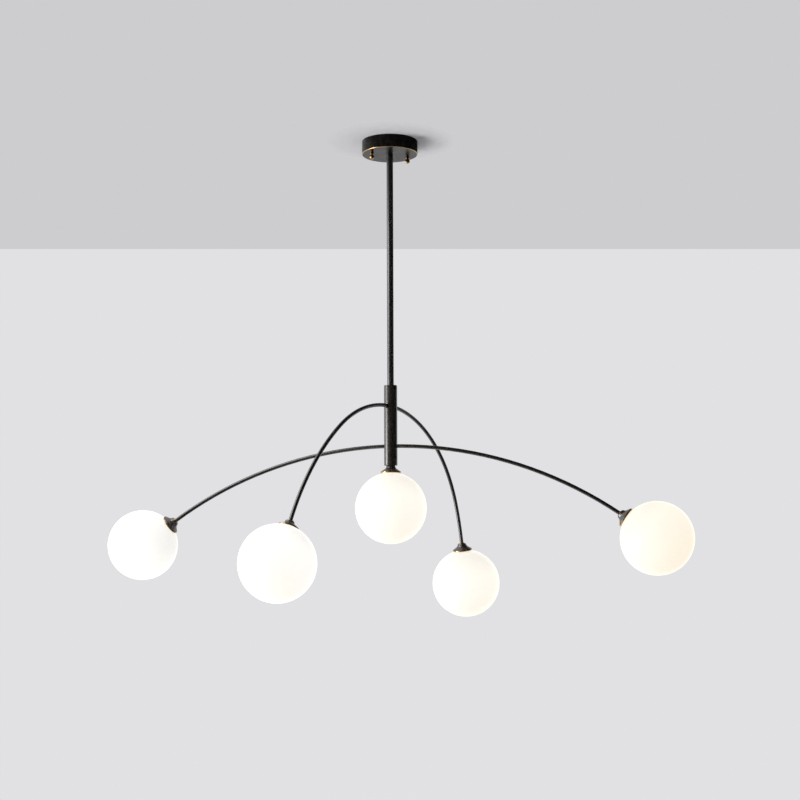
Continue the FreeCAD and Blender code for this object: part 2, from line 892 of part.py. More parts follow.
def hub_top_cap():
    """A disc with a spigot in the barrel's top and a hole for the hollow screw."""
    cap = D.hub_cap
    hole = D.nipple_radius + D.fixed_gap
    spigot = D.hub_bore - D.thread_gap
    body = turned("hub_top_cap", [
        (hole, -D.hub_spigot),
        (spigot, -D.hub_spigot),
        (spigot, 0.0),
        (D.hub_radius, 0.0),
        (D.hub_radius, cap - D.hub_chamfer),
        (D.hub_radius - D.hub_chamfer, cap),
        (hole, cap),
    ])
    keep(body, up_at(-(D.hub_top + cap).value))


def hub_bottom_cap():
    """The lower disc, with a smaller hole for the centre lamp's hollow screw."""
    cap = D.hub_cap
    hole = D.thread_radius + D.fixed_gap
    spigot = D.hub_bore - D.thread_gap
    body = turned("hub_bottom_cap", [
        (hole, 0.0),
        (D.hub_radius - D.hub_chamfer, 0.0),
        (D.hub_radius, D.hub_chamfer),
        (D.hub_radius, cap),
        (spigot, cap),
        (spigot, cap + D.hub_spigot),
        (hole, cap + D.hub_spigot),
    ])
    keep(body, up_at(-hub_bottom.value))


hub_nut_base = -D.hub_top - D.hub_cap - D.hub_spigot - D.pipe_nut_thick


def hub_nipple():
    """The hollow M10 screw between the down rod and the hub."""
    keep(tube("hub_nipple", D.nipple_radius, D.nipple_bore, hub_nut_base - D.nipple_stand,
              -D.hub_top + D.plug_length - D.nipple_gap))


def hub_nut():
    """The nut inside the hub that draws the top cap up to the down rod."""
    keep(pipe_nut("hub_nut", hub_nut_base))


def hub_set_screws():
    """Grub screws at the back of the hub that bear on the two arches."""
    screws = []
    inner = D.arm_radius + D.seat_gap
    outer = D.hub_radius - D.set_screw_sink
    for name, depth, azimuth in (("long_set_screw", D.long_depth, 90.0),
                                 ("short_set_screw", D.short_depth,
                                  D.short_azimuth.value + 90.0)):
        rod = cylinder(name + "_rod", D.set_screw, outer - inner, inner)
        socket = doc.addObject("Part::Prism", name + "_socket")
        socket.Polygon = 6
        bind(socket, "Circumradius", D.set_screw_socket)
        bind(socket, "Height", D.set_screw_socket_deep + D.set_screw_sink)
        bind(socket, "Placement.Base.z", outer - D.set_screw_socket_deep)
        screw = subtract(name, rod, socket)
        turn = Rotation(Z_AXIS, azimuth).multiply(Rotation(Y_AXIS, 90.0))
        screw.Placement = Placement(Vector(0, 0, -depth.value), turn)
        screws.append(screw)
    group("hub_set_screws", screws)


# ---------------------------------------------------------------------------
# Arches
# ---------------------------------------------------------------------------
def bent_tube(name, spans, place):
    """A tube bent in one plane: each arc is the tube's round section swept about its centre."""
    body = new_body(name)
    for number, span in enumerate(spans):
        tilt = Rotation(X_AXIS, span.start.value)
        offset = Placement(Vector(0, span.up.value, span.across.value), tilt)
        section = sketch_on(body, "YZ_Plane", "section_%d" % number, offset)
        ring(section, 0.0, span.bend, D.arm_radius)
        ring(section, 0.0, span.bend, D.arm_bore)
        turn = body.newObject("PartDesign::Revolution", "%s_bend_%d" % (name, number))
        turn.Profile = section
        turn.ReferenceAxis = (section, ["H_Axis"])
        bind(turn, "Angle", span.finish - span.start)
    slot = sketch_on(body, "XY_Plane", "slot")
    box_outline(slot, D.slot_length / -2.0, D.slot_length / 2.0,
                D.slot_width / -2.0, D.slot_width / 2.0)
    cut(body, slot, "wire_slot", D.arm_radius + D.free_gap, reverse=True)
    keep(body, place)


# ---------------------------------------------------------------------------
# Lamp heads
# ---------------------------------------------------------------------------
ARM_HEADS = ("left", "right", "front", "back")
ring_under = D.arm_reach - D.ring_thick
lower_nut_base = ring_under + D.hub_cap + D.hub_spigot


def arm_nipples():
    """Brass hollow screws; the flange of each shows as a thin ring above its cup."""
    pieces = []
    for head in ARM_HEADS:
        body = turned("arm_nipple_" + head, [
            (D.thread_bore, D.thread_end),
            (D.thread_radius, D.thread_end),
            (D.thread_radius, ring_under),
            (D.ring_radius - D.small_break, ring_under),
            (D.ring_radius, ring_under + D.small_break),
            (D.ring_radius, D.arm_reach - D.small_break),
            (D.ring_radius - D.small_break, D.arm_reach),
            (D.arm_bore - D.fixed_gap, D.arm_reach),
            (D.arm_bore - D.fixed_gap, D.arm_reach + D.thread_in_arm),
            (D.thread_bore, D.arm_reach + D.thread_in_arm),
        ])
        body.Placement = HEADS[head]
        pieces.append(body)
    group("arm_nipples", pieces)


def bottom_nipple():
    """The hollow screw that holds the centre cup to the hub's lower cap."""
    body = tube("bottom_nipple", D.thread_radius, D.thread_bore, D.thread_end,
                lower_nut_base + D.nipple_past_nut)
    keep(body, HEADS["centre"])


def hub_lower_nut():
    """The nut inside the hub, on the centre lamp's hollow screw."""
    nut = hex_nut("hub_lower_nut", D.small_nut_flats, D.lower_nut_thick,
                  D.thread_radius + D.thread_gap, lower_nut_base)
    keep(nut, HEADS["centre"])


def cup(head):
    """A flared lamp cup turned from brass, with a beaded lip."""
    hole = D.thread_radius + D.seat_gap
    neck_bore = D.neck_radius + D.free_gap
    body = turned("cup_" + head, [
        (hole, D.cavity_top),
        (D.cavity_radius, D.cavity_top),
        (D.cavity_radius + D.cavity_flare, D.cavity_top - D.cavity_depth),
        (neck_bore, D.neck_bore_top),
        (neck_bore, D.seat_reach),
        (D.cup_well, D.seat_reach),
        (D.cup_well, D.cup_lip_reach + D.cup_break),
        (D.cup_well + D.cup_break, D.cup_lip_reach),
        (D.cup_lip - D.cup_bead, D.cup_lip_reach, D.cup_edge),
        (D.cup_lip, D.cup_lip_reach + D.cup_bead_rise),
        (D.cup_lip, D.cup_rim_reach - D.cup_edge, D.cup_edge),
        (D.cup_rim, D.cup_rim_reach),
        (D.cup_flare, D.cup_flare_reach, -D.cup_flare_bend),
        (D.cup_waist, D.cup_waist_reach),
        (D.cup_shoulder, D.cup_waist_reach + D.cup_step, D.cup_edge),
        (D.cup_top, ring_under),
        (hole, ring_under),
    ])
    keep(body, HEADS[head])


def cup_nuts():
    """The nut inside each cup."""
    nuts = []
    for head in HEADS:
        nut = hex_nut("cup_nut_" + head, D.small_nut_flats, D.cup_nut_thick,
                      D.thread_radius + D.thread_gap,
                      D.cavity_top - D.cup_nut_thick - D.fixed_gap)
        nut.Placement = HEADS[head]
        nuts.append(nut)
    group("cup_nuts", nuts)


def holder_plates():
    """The threaded disc that carries each lampholder."""
    plates = []
    for head in HEADS:
        name = "holder_plate_" + head
        base = D.holder_top + D.fixed_gap
        blank = cylinder(name + "_blank", D.plate_radius, D.plate_thick, base)
        plate = drilled(name, blank, D.thread_radius + D.thread_gap, D.plate_thick, base)
        plate.Placement = HEADS[head]
        plates.append(plate)
    group("holder_plates", plates)


def lampholder(head):
    """A ceramic two-pin lampholder with a recess for the hollow screw."""
    recess = D.thread_radius + D.recess_room
    shoulder = D.holder_radius - D.holder_step
    body = turned("lampholder_" + head, [
        (0.0, D.holder_bottom),
        (D.holder_radius - D.holder_edge, D.holder_bottom),
        (D.holder_radius, D.holder_bottom + D.holder_edge),
        (D.holder_radius, D.holder_top - D.holder_step_start),
        (shoulder, D.holder_top - D.holder_step_end),
        (shoulder, D.holder_top),
        (recess, D.holder_top),
        (recess, D.recess_floor),
        (0.0, D.recess_floor),
    ])
    face = Placement(Vector(0, 0, D.holder_bottom.value), Rotation())
    pins = sketch_on(body, "XY_Plane", "pin_ways", face)
    for way in (-1.0, 1.0):
        ring(pins, D.pin_half * way, 0.0, D.pin_radius + D.pin_room)
    cut(body, pins, "pin_drilling", D.pin_length + D.pin_spare, reverse=True)
    keep(body, HEADS[head])


def bulb(head):
    """A two-pin capsule lamp: base, collar and rounded envelope."""
    face = D.holder_bottom - D.pass_gap
    body = turned("bulb_" + head, [
        (0.0, D.bulb_tip, D.bulb_tip_bend),
        (D.bulb_radius, D.bulb_tip + D.bulb_shoulder),
        (D.bulb_radius, face - D.collar_start),
        (D.bulb_collar, face - D.collar_start + D.collar_slope),
        (D.bulb_collar, face - D.collar_end),
        (D.bulb_waist, face - D.waist_start),
        (D.bulb_waist, face),
        (0.0, face),
    ])
    pin_root = Placement(Vector(0, 0, (face - D.pin_root).value), Rotation())
    pins = sketch_on(body, "XY_Plane", "pins", pin_root)
    for way in (-1.0, 1.0):
        ring(pins, D.pin_half * way, 0.0, D.pin_radius)
    pad(body, pins, D.pin_length + D.pin_root, "pins_pad")
    keep(body, HEADS[head])


def seal(head):
    """A soft ring between the globe and its cup."""
    high = D.seat_reach - D.free_gap
    body = tube("seal_" + head, D.seal_outer, D.seal_inner, high - D.seal_thick, high)
    keep(body, HEADS[head])


def globe(head):
    """A blown opal globe with a short neck that screws into the cup."""
    name = "globe_" + head
    blown = doc.addObject("Part::Sphere", name + "_blown")
    bind(blown, "Radius", D.globe_radius)
    neck = cylinder(name + "_neck", D.neck_radius, D.neck_reach - D.neck_root, D.neck_root)
    outside = doc.addObject("Part::Fuse", name + "_outside")
    outside.Base = blown
    outside.Tool = neck
    hollow = doc.addObject("Part::Sphere", name + "_hollow")
    bind(hollow, "Radius", D.globe_radius - D.globe_wall)
    mouth = cylinder(name + "_mouth", D.neck_bore, D.mouth_length, D.mouth_root)
    inside = doc.addObject("Part::Fuse", name + "_inside")
    inside.Base = hollow
    inside.Tool = mouth
    keep(subtract(name, outside, inside), HEADS[head])


# ---------------------------------------------------------------------------
# Wiring
# ---------------------------------------------------------------------------
top_connector = D.connector_above.value - D.short_depth.value
low_connector = D.connector_above.value - D.long_depth.value
block_face = (D.block_centre_out - D.block_width / 2.0).value
block_entry_up = (under_foot - D.block_height / 2.0).value
lampholder_recess = (D.thread_end - D.recess_room - centre_depth).value
# the leads inside the hub pass its arches on this side
SIDE_AZIMUTH = 125.0
SIDE_STEP = 8.2


def sweep(name, edges, radius):
    """A round lead along a path of lines and tangent arcs; its volume is compared with the path."""
    path = Part.Wire(edges)
    start = path.Edges[0]
    at = start.valueAt(start.FirstParameter)
    along = start.tangentAt(start.FirstParameter)
    section = Part.Wire([Part.Circle(at, along, radius).toShape()])
    solid = path.makePipeShell([section], True, False)
    expected = math.pi * radius ** 2 * path.Length
    allowed = 0.01
    if abs(solid.Volume - expected) > allowed * expected:
        raise RuntimeError("%s: volume %.1f, path gives %.1f" % (name, solid.Volume, expected))
    return solid


def rounded(points, radius):
    """Straight runs through the points, with the tangent arc of the given radius at each turn."""
    edges = []
    last = points[0]
    for before, corner, after in zip(points, points[1:], points[2:]):
        back = (before - corner).normalize()
        forth = (after - corner).normalize()
        half_turn = (math.pi - back.getAngle(forth)) / 2.0
        trim = radius * math.tan(half_turn)
        first = corner + back * trim
        third = corner + forth * trim
        inward = (back + forth).normalize()
        second = corner + inward * (radius / math.cos(half_turn) - radius)
        if (first - last).Length > NEAR:
            edges.append(Part.LineSegment(last, first).toShape())
        edges.append(Part.Arc(first, second, third).toShape())
        last = third
    edges.append(Part.LineSegment(last, points[-1]).toShape())
    return edges


def arc_edge(across, up, bend, start, finish):
    """An arc in an arch's plane between two angles from the vertical."""
    points = []
    for angle in (start, (start + finish) / 2.0, finish):
        turn = math.radians(angle)
        points.append(Vector(across + bend * math.sin(turn), 0, up + bend * math.cos(turn)))
    return Part.Arc(*points).toShape()


def arch_lead(spans, middle, way, start_up):
    """The route from a connector down through the slot and along one half of an arch.

    It drops beside the hub's axis, turns outwards on a small arc that touches the arch's centre
    line, follows that line to the end of the arm and runs straight into the lampholder.
    """
    aside = D.lead_aside.value * way
    small = D.lead_turn.value
    hub_span = spans[middle]
    bend = hub_span.bend.value
    across = hub_span.across.value
    up = hub_span.up.value
    small_across = aside + small * way
    small_up = up + math.sqrt((bend + small) ** 2 - (small_across - across) ** 2)
    touch = math.degrees(math.atan2(small_across - across, small_up - up))
    edges = [Part.LineSegment(Vector(aside, 0, start_up), Vector(aside, 0, small_up)).toShape()]
    edges.append(arc_edge(small_across, small_up, small, -90.0 * way,
                          touch - 180.0 * way))
    end = hub_span.finish.value if way > 0 else hub_span.start.value
    edges.append(arc_edge(across, up, bend, touch, end))
    last = hub_span
    outer = spans[middle + 1:] if way > 0 else spans[:middle][::-1]
    for span in outer:
        first, end = (span.start.value, span.finish.value)
        if way < 0:
            first, end = end, first
        edges.append(arc_edge(span.across.value, span.up.value, span.bend.value, first, end))
        last = span
    tip_across, tip_up = last.point(end)
    tip = Vector(tip_across, 0, tip_up)
    along = Vector(way * math.cos(math.radians(end)), 0, -way * math.sin(math.radians(end)))
    run = (D.arm_reach - D.thread_end + D.recess_room).value
    edges.append(Part.LineSegment(tip, tip + along * run).toShape())
    return edges


def arch_leads(name, spans, middle, connector, depth, place):
    """The two leads of one arch, one to each of its lampholders."""
    feature = doc.addObject("Part::Feature", name)
    start_up = connector + depth.value
    solids = []
    for way in (-1.0, 1.0):
        route = arch_lead(spans, middle, way, start_up)
        solids.append(sweep(name, route, D.lead_radius.value))
    feature.Shape = Part.Compound(solids)
    keep(feature, place)


def stem_lead():
    """The supply lead: from the terminal strip over the bracket and down the rod to the hub."""
    side = D.block_centre_side.value
    over_edge = -4.2
    bend = 5.5
    points = [
        Vector(0, 0, top_connector + D.connector_length.value),
        Vector(0, 0, over_edge),
        Vector(-2.0, 14.0, over_edge),
        Vector(4.0, side, block_entry_up),
        Vector(block_face, side, block_entry_up),
    ]
    feature = doc.addObject("Part::Feature", "stem_lead")
    feature.Shape = sweep("stem_lead", rounded(points, bend), D.stem_lead_radius.value)
    keep(feature, BRACKET)


def earth_lead():
    """The earth lead: from its lug over the bracket's dropped middle to the outer terminal."""
    start = (earth_across + D.lug_end).value
    side = earth_side.value
    pole = (D.block_centre_side + D.block_pitch).value
    crossing = -12.5
    into_block = 3.0
    bend = 6.0
    points = [
        Vector(start, side, lug_axis.value),
        Vector(crossing, side, lug_axis.value),
        Vector(crossing, pole, block_entry_up),
        Vector(block_face + into_block, pole, block_entry_up),
    ]
    feature = doc.addObject("Part::Feature", "earth_lead")
    feature.Shape = sweep("earth_lead", rounded(points, bend), D.earth_lead_radius.value)
    keep(feature, BRACKET)


def side_pass(start, clear_from, clear_to, finish, start_out):
    """A route that leaves a connector, steps aside to pass an arch and comes back to the axis."""
    straight_out = 2.6
    way_back = 16.0
    bend = 4.2
    points = [
        Vector(start_out, 0, start),
        Vector(start_out, 0, start - straight_out),
        Vector(SIDE_STEP, 0, clear_from),
        Vector(SIDE_STEP, 0, clear_to),
        Vector(0, 0, clear_to - way_back),
        Vector(0, 0, finish),
    ]
    return rounded(points, bend)


def hub_leads():
    """Leads inside the hub: past the short arch, and past the long arch to the centre lamp."""
    feature = doc.addObject("Part::Feature", "hub_leads")
    aside = 3.2
    out_by = 8.5
    past_short = 12.0
    past_long = 8.0
    routes = [
        side_pass(top_connector, top_connector - out_by, -D.short_depth.value - past_short,
                  low_connector + D.connector_length.value, aside),
        side_pass(low_connector, low_connector - out_by, -D.long_depth.value - past_long,
                  lampholder_recess, aside),
    ]
    feature.Shape = Part.Compound([sweep("hub_leads", route, D.lead_radius.value)
                                   for route in routes])
    keep(feature, up_at(0.0, SIDE_AZIMUTH))


def wire_connectors():
    """Two crimped barrels inside the hub where the leads join."""
    barrels = []
    for name, base in (("top_barrel", top_connector), ("low_barrel", low_connector)):
        slope = D.connector_slope
        body = turned(name, [
            (0.0, 0.0),
            (D.connector_radius - D.small_break, 0.0),
            (D.connector_radius, D.small_break),
            (D.connector_radius, D.connector_length - slope),
            (D.connector_radius - slope, D.connector_length),
            (0.0, D.connector_length),
        ])
        body.Placement = up_at(base)
        barrels.append(body)
    group("wire_connectors", barrels)


# ---------------------------------------------------------------------------
# Build everything
# ---------------------------------------------------------------------------
ceiling_bracket()
bracket_studs()
stud_nuts()
earth_screw()
earth_lug()
terminal_block()
terminal_screws()
canopy_cover()
ball_nut("ball_nut_left", -1.0)
ball_nut("ball_nut_right", 1.0)
stem_nipple()
stem_nuts()
stem_washer()
stem_tube()
stem_plugs()
hub_tube()
hub_top_cap()
hub_bottom_cap()
hub_nipple()
hub_nut()
hub_set_screws()
bent_tube("long_arch", long_spans, LONG_PLACE)
bent_tube("short_arch", short_spans, SHORT_PLACE)
arm_nipples()
bottom_nipple()
hub_lower_nut()
cup_nuts()
holder_plates()
for head in HEADS:
    cup(head)
    lampholder(head)
    bulb(head)
    seal(head)
    globe(head)
stem_lead()
earth_lead()
hub_leads()
arch_leads("long_arch_leads", long_spans, 0, low_connector, D.long_depth, LONG_PLACE)
arch_leads("short_arch_leads", short_spans, 1, top_connector, D.short_depth, SHORT_PLACE)
wire_connectors()

doc.recompute()
for thing in doc.Objects:
    if "Invalid" in thing.State or "Error" in thing.State:
        raise RuntimeError("%s: %s" % (thing.Name, thing.State))
for node in nodes:
    if node.Shape.isNull() or not node.Shape.isValid():
        raise RuntimeError("%s: bad shape" % node.Label)

os.makedirs("parts", exist_ok=True)
for node in nodes:
    node.Shape.exportStep("parts/%s.step" % node.Label)
    print("%-20s %2d solids %10.1f mm3" % (node.Label, len(node.Shape.Solids), node.Shape.Volume))
print(len(nodes), "nodes")
for head, place in HEADS.items():
    print(head, [round(number, 2) for number in place.Base], place.Rotation.toEuler())
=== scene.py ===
# %% [markdown]
# # A branch chandelier in rubbed black brass and opal glass
#
# The real lamp is a few bent tubes.  A down rod hangs from a round canopy and carries a slim hub.
# Two arches pass through the hub.  Each of their four ends carries a flared cup with a lit opal
# globe, and a fifth cup and globe hang under the hub.
# The construction arrives as a finished frame, so this lesson adds what the eye reads as real:
# surfaces with a maker's finish, glass that glows, screw threads, and studio light.
# Everything is in metres, with zero on the ceiling and Z up.

# %% Load the frame
import bpy
import bmesh
import json
import math
import numpy as np
from mathutils import Matrix, Vector


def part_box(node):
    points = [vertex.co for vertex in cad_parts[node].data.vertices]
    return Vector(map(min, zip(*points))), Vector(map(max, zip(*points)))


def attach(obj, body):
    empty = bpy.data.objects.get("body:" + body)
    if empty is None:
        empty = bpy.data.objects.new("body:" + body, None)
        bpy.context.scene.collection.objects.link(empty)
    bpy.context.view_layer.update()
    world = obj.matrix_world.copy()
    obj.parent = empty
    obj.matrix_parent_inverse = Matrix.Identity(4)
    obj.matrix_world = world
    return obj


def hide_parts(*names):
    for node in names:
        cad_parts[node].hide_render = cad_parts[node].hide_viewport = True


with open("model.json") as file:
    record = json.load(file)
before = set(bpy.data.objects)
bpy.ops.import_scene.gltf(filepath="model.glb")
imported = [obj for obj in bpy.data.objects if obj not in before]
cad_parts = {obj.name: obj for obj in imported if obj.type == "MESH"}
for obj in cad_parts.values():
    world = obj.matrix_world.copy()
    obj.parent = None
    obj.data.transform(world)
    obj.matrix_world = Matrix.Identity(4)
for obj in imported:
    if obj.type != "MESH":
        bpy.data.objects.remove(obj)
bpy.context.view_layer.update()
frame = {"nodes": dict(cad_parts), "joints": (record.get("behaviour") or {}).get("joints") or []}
nodes = frame["nodes"]


def put(name, data):
    """Make an object of a mesh, a lamp or a camera, and put it into the scene."""
    thing = bpy.data.objects.new(name, data)
    bpy.context.scene.collection.objects.link(thing)
    return thing


# %% [markdown]
# ## The camera
#
# The photograph was taken from about three metres, a little below the arms, looking slightly up.
# A camera can be placed by eye, but a long thin object shows every error of a degree, so this one
# was fitted: its place and turn make the globes, the hub and the canopy fall where they do in the
# picture.  Heading is measured from +X towards +Y.

# %% Place the camera
PICTURE = 800
FOCAL_PIXELS = 1546.0
CAMERA_PLACE = Vector((0.6958, -3.1696, -0.9966))
HEADING = math.radians(102.03)
PITCH = math.radians(7.596)
ROLL = math.radians(-0.253)

flat_ahead = Vector((math.cos(HEADING), math.sin(HEADING), 0.0))
ahead = math.cos(PITCH) * flat_ahead + Vector((0.0, 0.0, math.sin(PITCH)))
level_right = Vector((math.sin(HEADING), -math.cos(HEADING), 0.0))
level_up = level_right.cross(ahead)
right = math.cos(ROLL) * level_right + math.sin(ROLL) * level_up
upward = math.cos(ROLL) * level_up - math.sin(ROLL) * level_right

camera_data = bpy.data.cameras.new("camera")
camera_data.sensor_width = 36.0
camera_data.lens = FOCAL_PIXELS / PICTURE * camera_data.sensor_width
camera = put("camera", camera_data)
camera_turn = Matrix((right, upward, -ahead)).transposed().to_4x4()
camera.matrix_world = Matrix.Translation(CAMERA_PLACE) @ camera_turn
bpy.context.scene.camera = camera
print("lens %.1f mm" % camera_data.lens)

# %% [markdown]
# ## Node trees without tangles
#
# Every finish below is a small node tree.  Clicking them together is slow to repeat, so a `Bench`
# adds one node per call and returns its output.  Numbers fill sockets directly and outputs are
# linked, which keeps a recipe as short as a sentence.

# %% A bench for finishes
class Bench:
    """One material's node tree around a Principled shader, whose constants are set by name."""

    def __init__(self, name, **constants):
        self.material = bpy.data.materials.new(name)
        self.material.use_nodes = True
        self.tree = self.material.node_tree
        self.shader = self.tree.nodes["Principled BSDF"]
        self.fill(self.shader, constants)

    def fill(self, node, inputs):
        """Set or link inputs; an underscore in a name stands for a space."""
        for name, value in inputs.items():
            socket = node.inputs[name.replace("_", " ")]
            self.feed(socket, value)

    def feed(self, socket, value):
        """Link an output, or write a number or a colour."""
        if isinstance(value, bpy.types.NodeSocket):
            self.tree.links.new(value, socket)
        elif isinstance(value, tuple) and socket.type == "RGBA" and len(value) == 3:
            socket.default_value = (*value, 1.0)
        else:
            socket.default_value = value

    def add(self, kind, settings=None, output=0, **inputs):
        """Add a node and return one of its outputs."""
        node = self.tree.nodes.new("ShaderNode" + kind)
        for field, value in (settings or {}).items():
            setattr(node, field, value)
        self.fill(node, inputs)
        return node.outputs[output]

    def maths(self, operation, first, second=0.0):
        """One arithmetic step."""
        node = self.tree.nodes.new("ShaderNodeMath")
        node.operation = operation
        self.feed(node.inputs[0], first)
        self.feed(node.inputs[1], second)
        return node.outputs[0]

    def stretch(self, place, factors):
        """The coordinates multiplied by three factors, so that a pattern draws out into streaks."""
        node = self.tree.nodes.new("ShaderNodeVectorMath")
        node.operation = "MULTIPLY"
        self.feed(node.inputs[0], place)
        node.inputs[1].default_value = factors
        return node.outputs[0]

    def ramp(self, value, low, high, start=0.0, finish=1.0):
        """A clamped straight ramp from start to finish as the value goes from low to high."""
        return self.add("MapRange", Value=value, From_Min=low, From_Max=high,
                        To_Min=start, To_Max=finish)

    def noise(self, place, scale, detail=3.0, roughness=0.5):
        """A soft cloud around 0.5, with scale cells to the metre."""
        return self.add("TexNoise", Vector=place, Scale=scale, Detail=detail, Roughness=roughness)

    def mix(self, share, first, second):
        """A colour between two others."""
        node = self.tree.nodes.new("ShaderNodeMix")
        node.data_type = "RGBA"
        self.feed(node.inputs["Factor"], share)
        self.feed(node.inputs[6], first)
        self.feed(node.inputs[7], second)
        return node.outputs[2]

    def blend(self, share, first, second):
        """A shader between two others."""
        node = self.tree.nodes.new("ShaderNodeMixShader")
        for socket, value in zip(node.inputs, (share, first, second)):
            self.feed(socket, value)
        return node.outputs[0]

    def place(self, matrix=None):
        """Object coordinates, seen from a piece's own axes if its matrix is given."""
        here = self.add("TexCoord", output=3)
        if matrix is None:
            return here
        return self.add("Mapping", {"vector_type": "TEXTURE"}, Vector=here,
                        Location=tuple(matrix.translation), Rotation=tuple(matrix.to_euler()))

    def relief(self, height, depth):
        """Bump of a depth in metres, joined to the shader."""
        bump = self.add("Bump", Height=height, Distance=depth, Strength=1.0)
        self.feed(self.shader.inputs["Normal"], bump)


def dress(material, *names):
    """Give a finish to CAD nodes."""
    for name in names:
        nodes[name].data.materials.clear()
        nodes[name].data.materials.append(material)


# %% [markdown]
# ## Where the lamp heads are
#
# Each globe turns about its arm's axis, and that axis is stored with the joint.  Reading it from
# there gives every head its own upright axes: zero at the globe's centre, Z back along the arm.
# A shape or a worn edge is then written once and used five times.

# %% Read the five heads
HEADS = ("left", "right", "front", "back", "centre")
joints = {joint["name"]: joint for joint in frame["joints"]}


def upright(centre, up):
    """The matrix that puts zero at a centre and Z along a direction."""
    return Matrix.Translation(centre) @ Vector(up).to_track_quat("Z", "Y").to_matrix().to_4x4()


head_place = {}
for head in HEADS:
    turn = joints["globe_%s_turn" % head]
    head_place[head] = upright(Vector(turn["pos_m"]), -Vector(turn["axis"]))
    print("%-7s %s" % (head, [round(number, 3) for number in turn["pos_m"]]))

# %% [markdown]
# ## Rubbed black brass
#
# The metal is brass, blackened by an acid dip and then oiled.  The black is never even: it has
# brown clouds a few millimetres across, fine streaks from the polishing belt, and bare brass where
# a hand or a tool meets a sharp edge; at the hub's two holes it is kept to the upper rims as a
# painted glint.  One function makes all of it.  A different place for each piece turns the
# streaks along that piece, and a mask says where its own edge is bare.

# %% Blackened metal
BLACK = (0.021, 0.0175, 0.0135)
BROWN = (0.044, 0.031, 0.021)
BARE = (0.78, 0.53, 0.24)
BARE_ROUGH = 0.22
GRAIN = 2600.0


def black_metal(name, matrix=None, streak=(700.0, 700.0, 14.0), cloud=230.0, bare=None,
                rough=(0.34, 0.48), black=BLACK, brown=BROWN, sheen=1.0, bend=1.75, depth=0.00004):
    """Blackened brass: clouds, streaks, and bare metal where the mask bare(bench, axes) is 1, worn
    through or, at the hub's holes, a painted glint.

    streak and cloud are cells to the metre, rough is its lowest and highest value, sheen is the
    strength of the reflection and bend its index of refraction, and depth is the relief in metres.
    """
    bench = Bench(name, IOR=bend, Specular_IOR_Level=sheen)
    axes = bench.place(matrix)
    clouds = bench.noise(axes, cloud, 4.0, 0.6)
    streaks = bench.noise(bench.stretch(axes, streak), 1.0, 2.0)
    grain = bench.noise(axes, GRAIN, 2.0)
    skin = bench.mix(bench.ramp(clouds, 0.42, 0.66), black, brown)
    dull = bench.ramp(bench.maths("ADD", clouds, streaks), 0.7, 1.3, *rough)
    if bare is not None:
        bare_or_glint = bare(bench, axes)
        skin = bench.mix(bare_or_glint, skin, BARE)
        dull = bench.ramp(bare_or_glint, 0.0, 1.0, dull, BARE_ROUGH)
        bench.feed(bench.shader.inputs["Metallic"], bare_or_glint)
    bench.feed(bench.shader.inputs["Base Color"], skin)
    bench.feed(bench.shader.inputs["Roughness"], dull)
    fine = bench.maths("ADD", bench.maths("MULTIPLY", streaks, 0.7),
                       bench.maths("MULTIPLY", grain, 0.5))
    bench.relief(bench.maths("ADD", fine, clouds), depth)
    return bench.material


# %% [markdown]
# ## Where the black has worn through, and a painted glint
#
# The photograph shows a thin gold line in three places: on the canopy's lower edge, on the lip of
# every cup, and at the holes that the arches pass through.  Each line is a mask worked out from
# distances: how far a point lies from an axis, and how high along it.  At the holes the bare brass
# is kept to the upper rims as a painted glint, and the lower rims stay black as painted shade under
# the arches.

# %% Masks for the bare edges
FINE_EDGE = 0.0002          # the width over which a mask goes from 0 to 1
SOFT_EDGE = 0.0003

CANOPY_RADIUS = 0.060
CANOPY_DEPTH = 0.0285
CANOPY_BEVEL = 0.0012

LIP_REACH = 0.0728          # height of the cup's mouth above the globe's centre
LIP_BARE = 0.0029
LIP_WAVER = 0.0012

HOLE_BARE = 0.0054          # from the arch's axis: 1.4 mm more than the tube's radius
# heights above a hole's centre over which the painted glint fades in; lower down the rim stays black
# as painted shade
GLINT_FADE = (0.0005, 0.0030)
LONG_ARCH = (0.662, 0.0)                          # depth below the ceiling, and azimuth
SHORT_ARCH = (0.57733, math.radians(69.2))


def across(bench, axes):
    """Distance from the local Z axis, and height along it."""
    split = bench.tree.nodes.new("ShaderNodeSeparateXYZ")
    bench.feed(split.inputs[0], axes)
    x, y, z = split.outputs
    square = bench.maths("ADD", bench.maths("MULTIPLY", x, x), bench.maths("MULTIPLY", y, y))
    return bench.maths("SQRT", square), z


def bare_canopy_edge(bench, axes):
    """The bevel where the canopy's side meets its floor."""
    radius, height = across(bench, axes)
    corner = bench.maths("SUBTRACT", radius, height)
    start = CANOPY_RADIUS + CANOPY_DEPTH - CANOPY_BEVEL
    return bench.ramp(corner, start, start + FINE_EDGE)


def bare_lip(bench, axes):
    """The cup's mouth, where it meets the globe; noise makes the line waver."""
    waver = bench.maths("MULTIPLY", bench.noise(axes, 260.0), LIP_WAVER)
    height = bench.maths("ADD", across(bench, axes)[1], waver)
    return bench.ramp(height, LIP_REACH + LIP_BARE, LIP_REACH + LIP_BARE - SOFT_EDGE)


def hole_rim_glints(bench, axes):
    """Bare brass round the two cross holes in the hub, kept to the upper rims as a painted glint; the
    lower rims stay black as painted shade under the arches.
    """
    height = across(bench, axes)[1]
    rims = []
    for depth, azimuth in (LONG_ARCH, SHORT_ARCH):
        along = Vector((math.cos(azimuth), math.sin(azimuth), 0.0))
        distance = across(bench, bench.place(upright(Vector((0.0, 0.0, -depth)), along)))[0]
        rim = bench.ramp(distance, HOLE_BARE, HOLE_BARE - SOFT_EDGE)
        # painted glint on the upper rim only; the lower rim is left black as painted shade
        upper = bench.ramp(height, GLINT_FADE[0] - depth, GLINT_FADE[1] - depth)
        rims.append(bench.maths("MULTIPLY", rim, upper))
    return bench.maths("MAXIMUM", *rims)


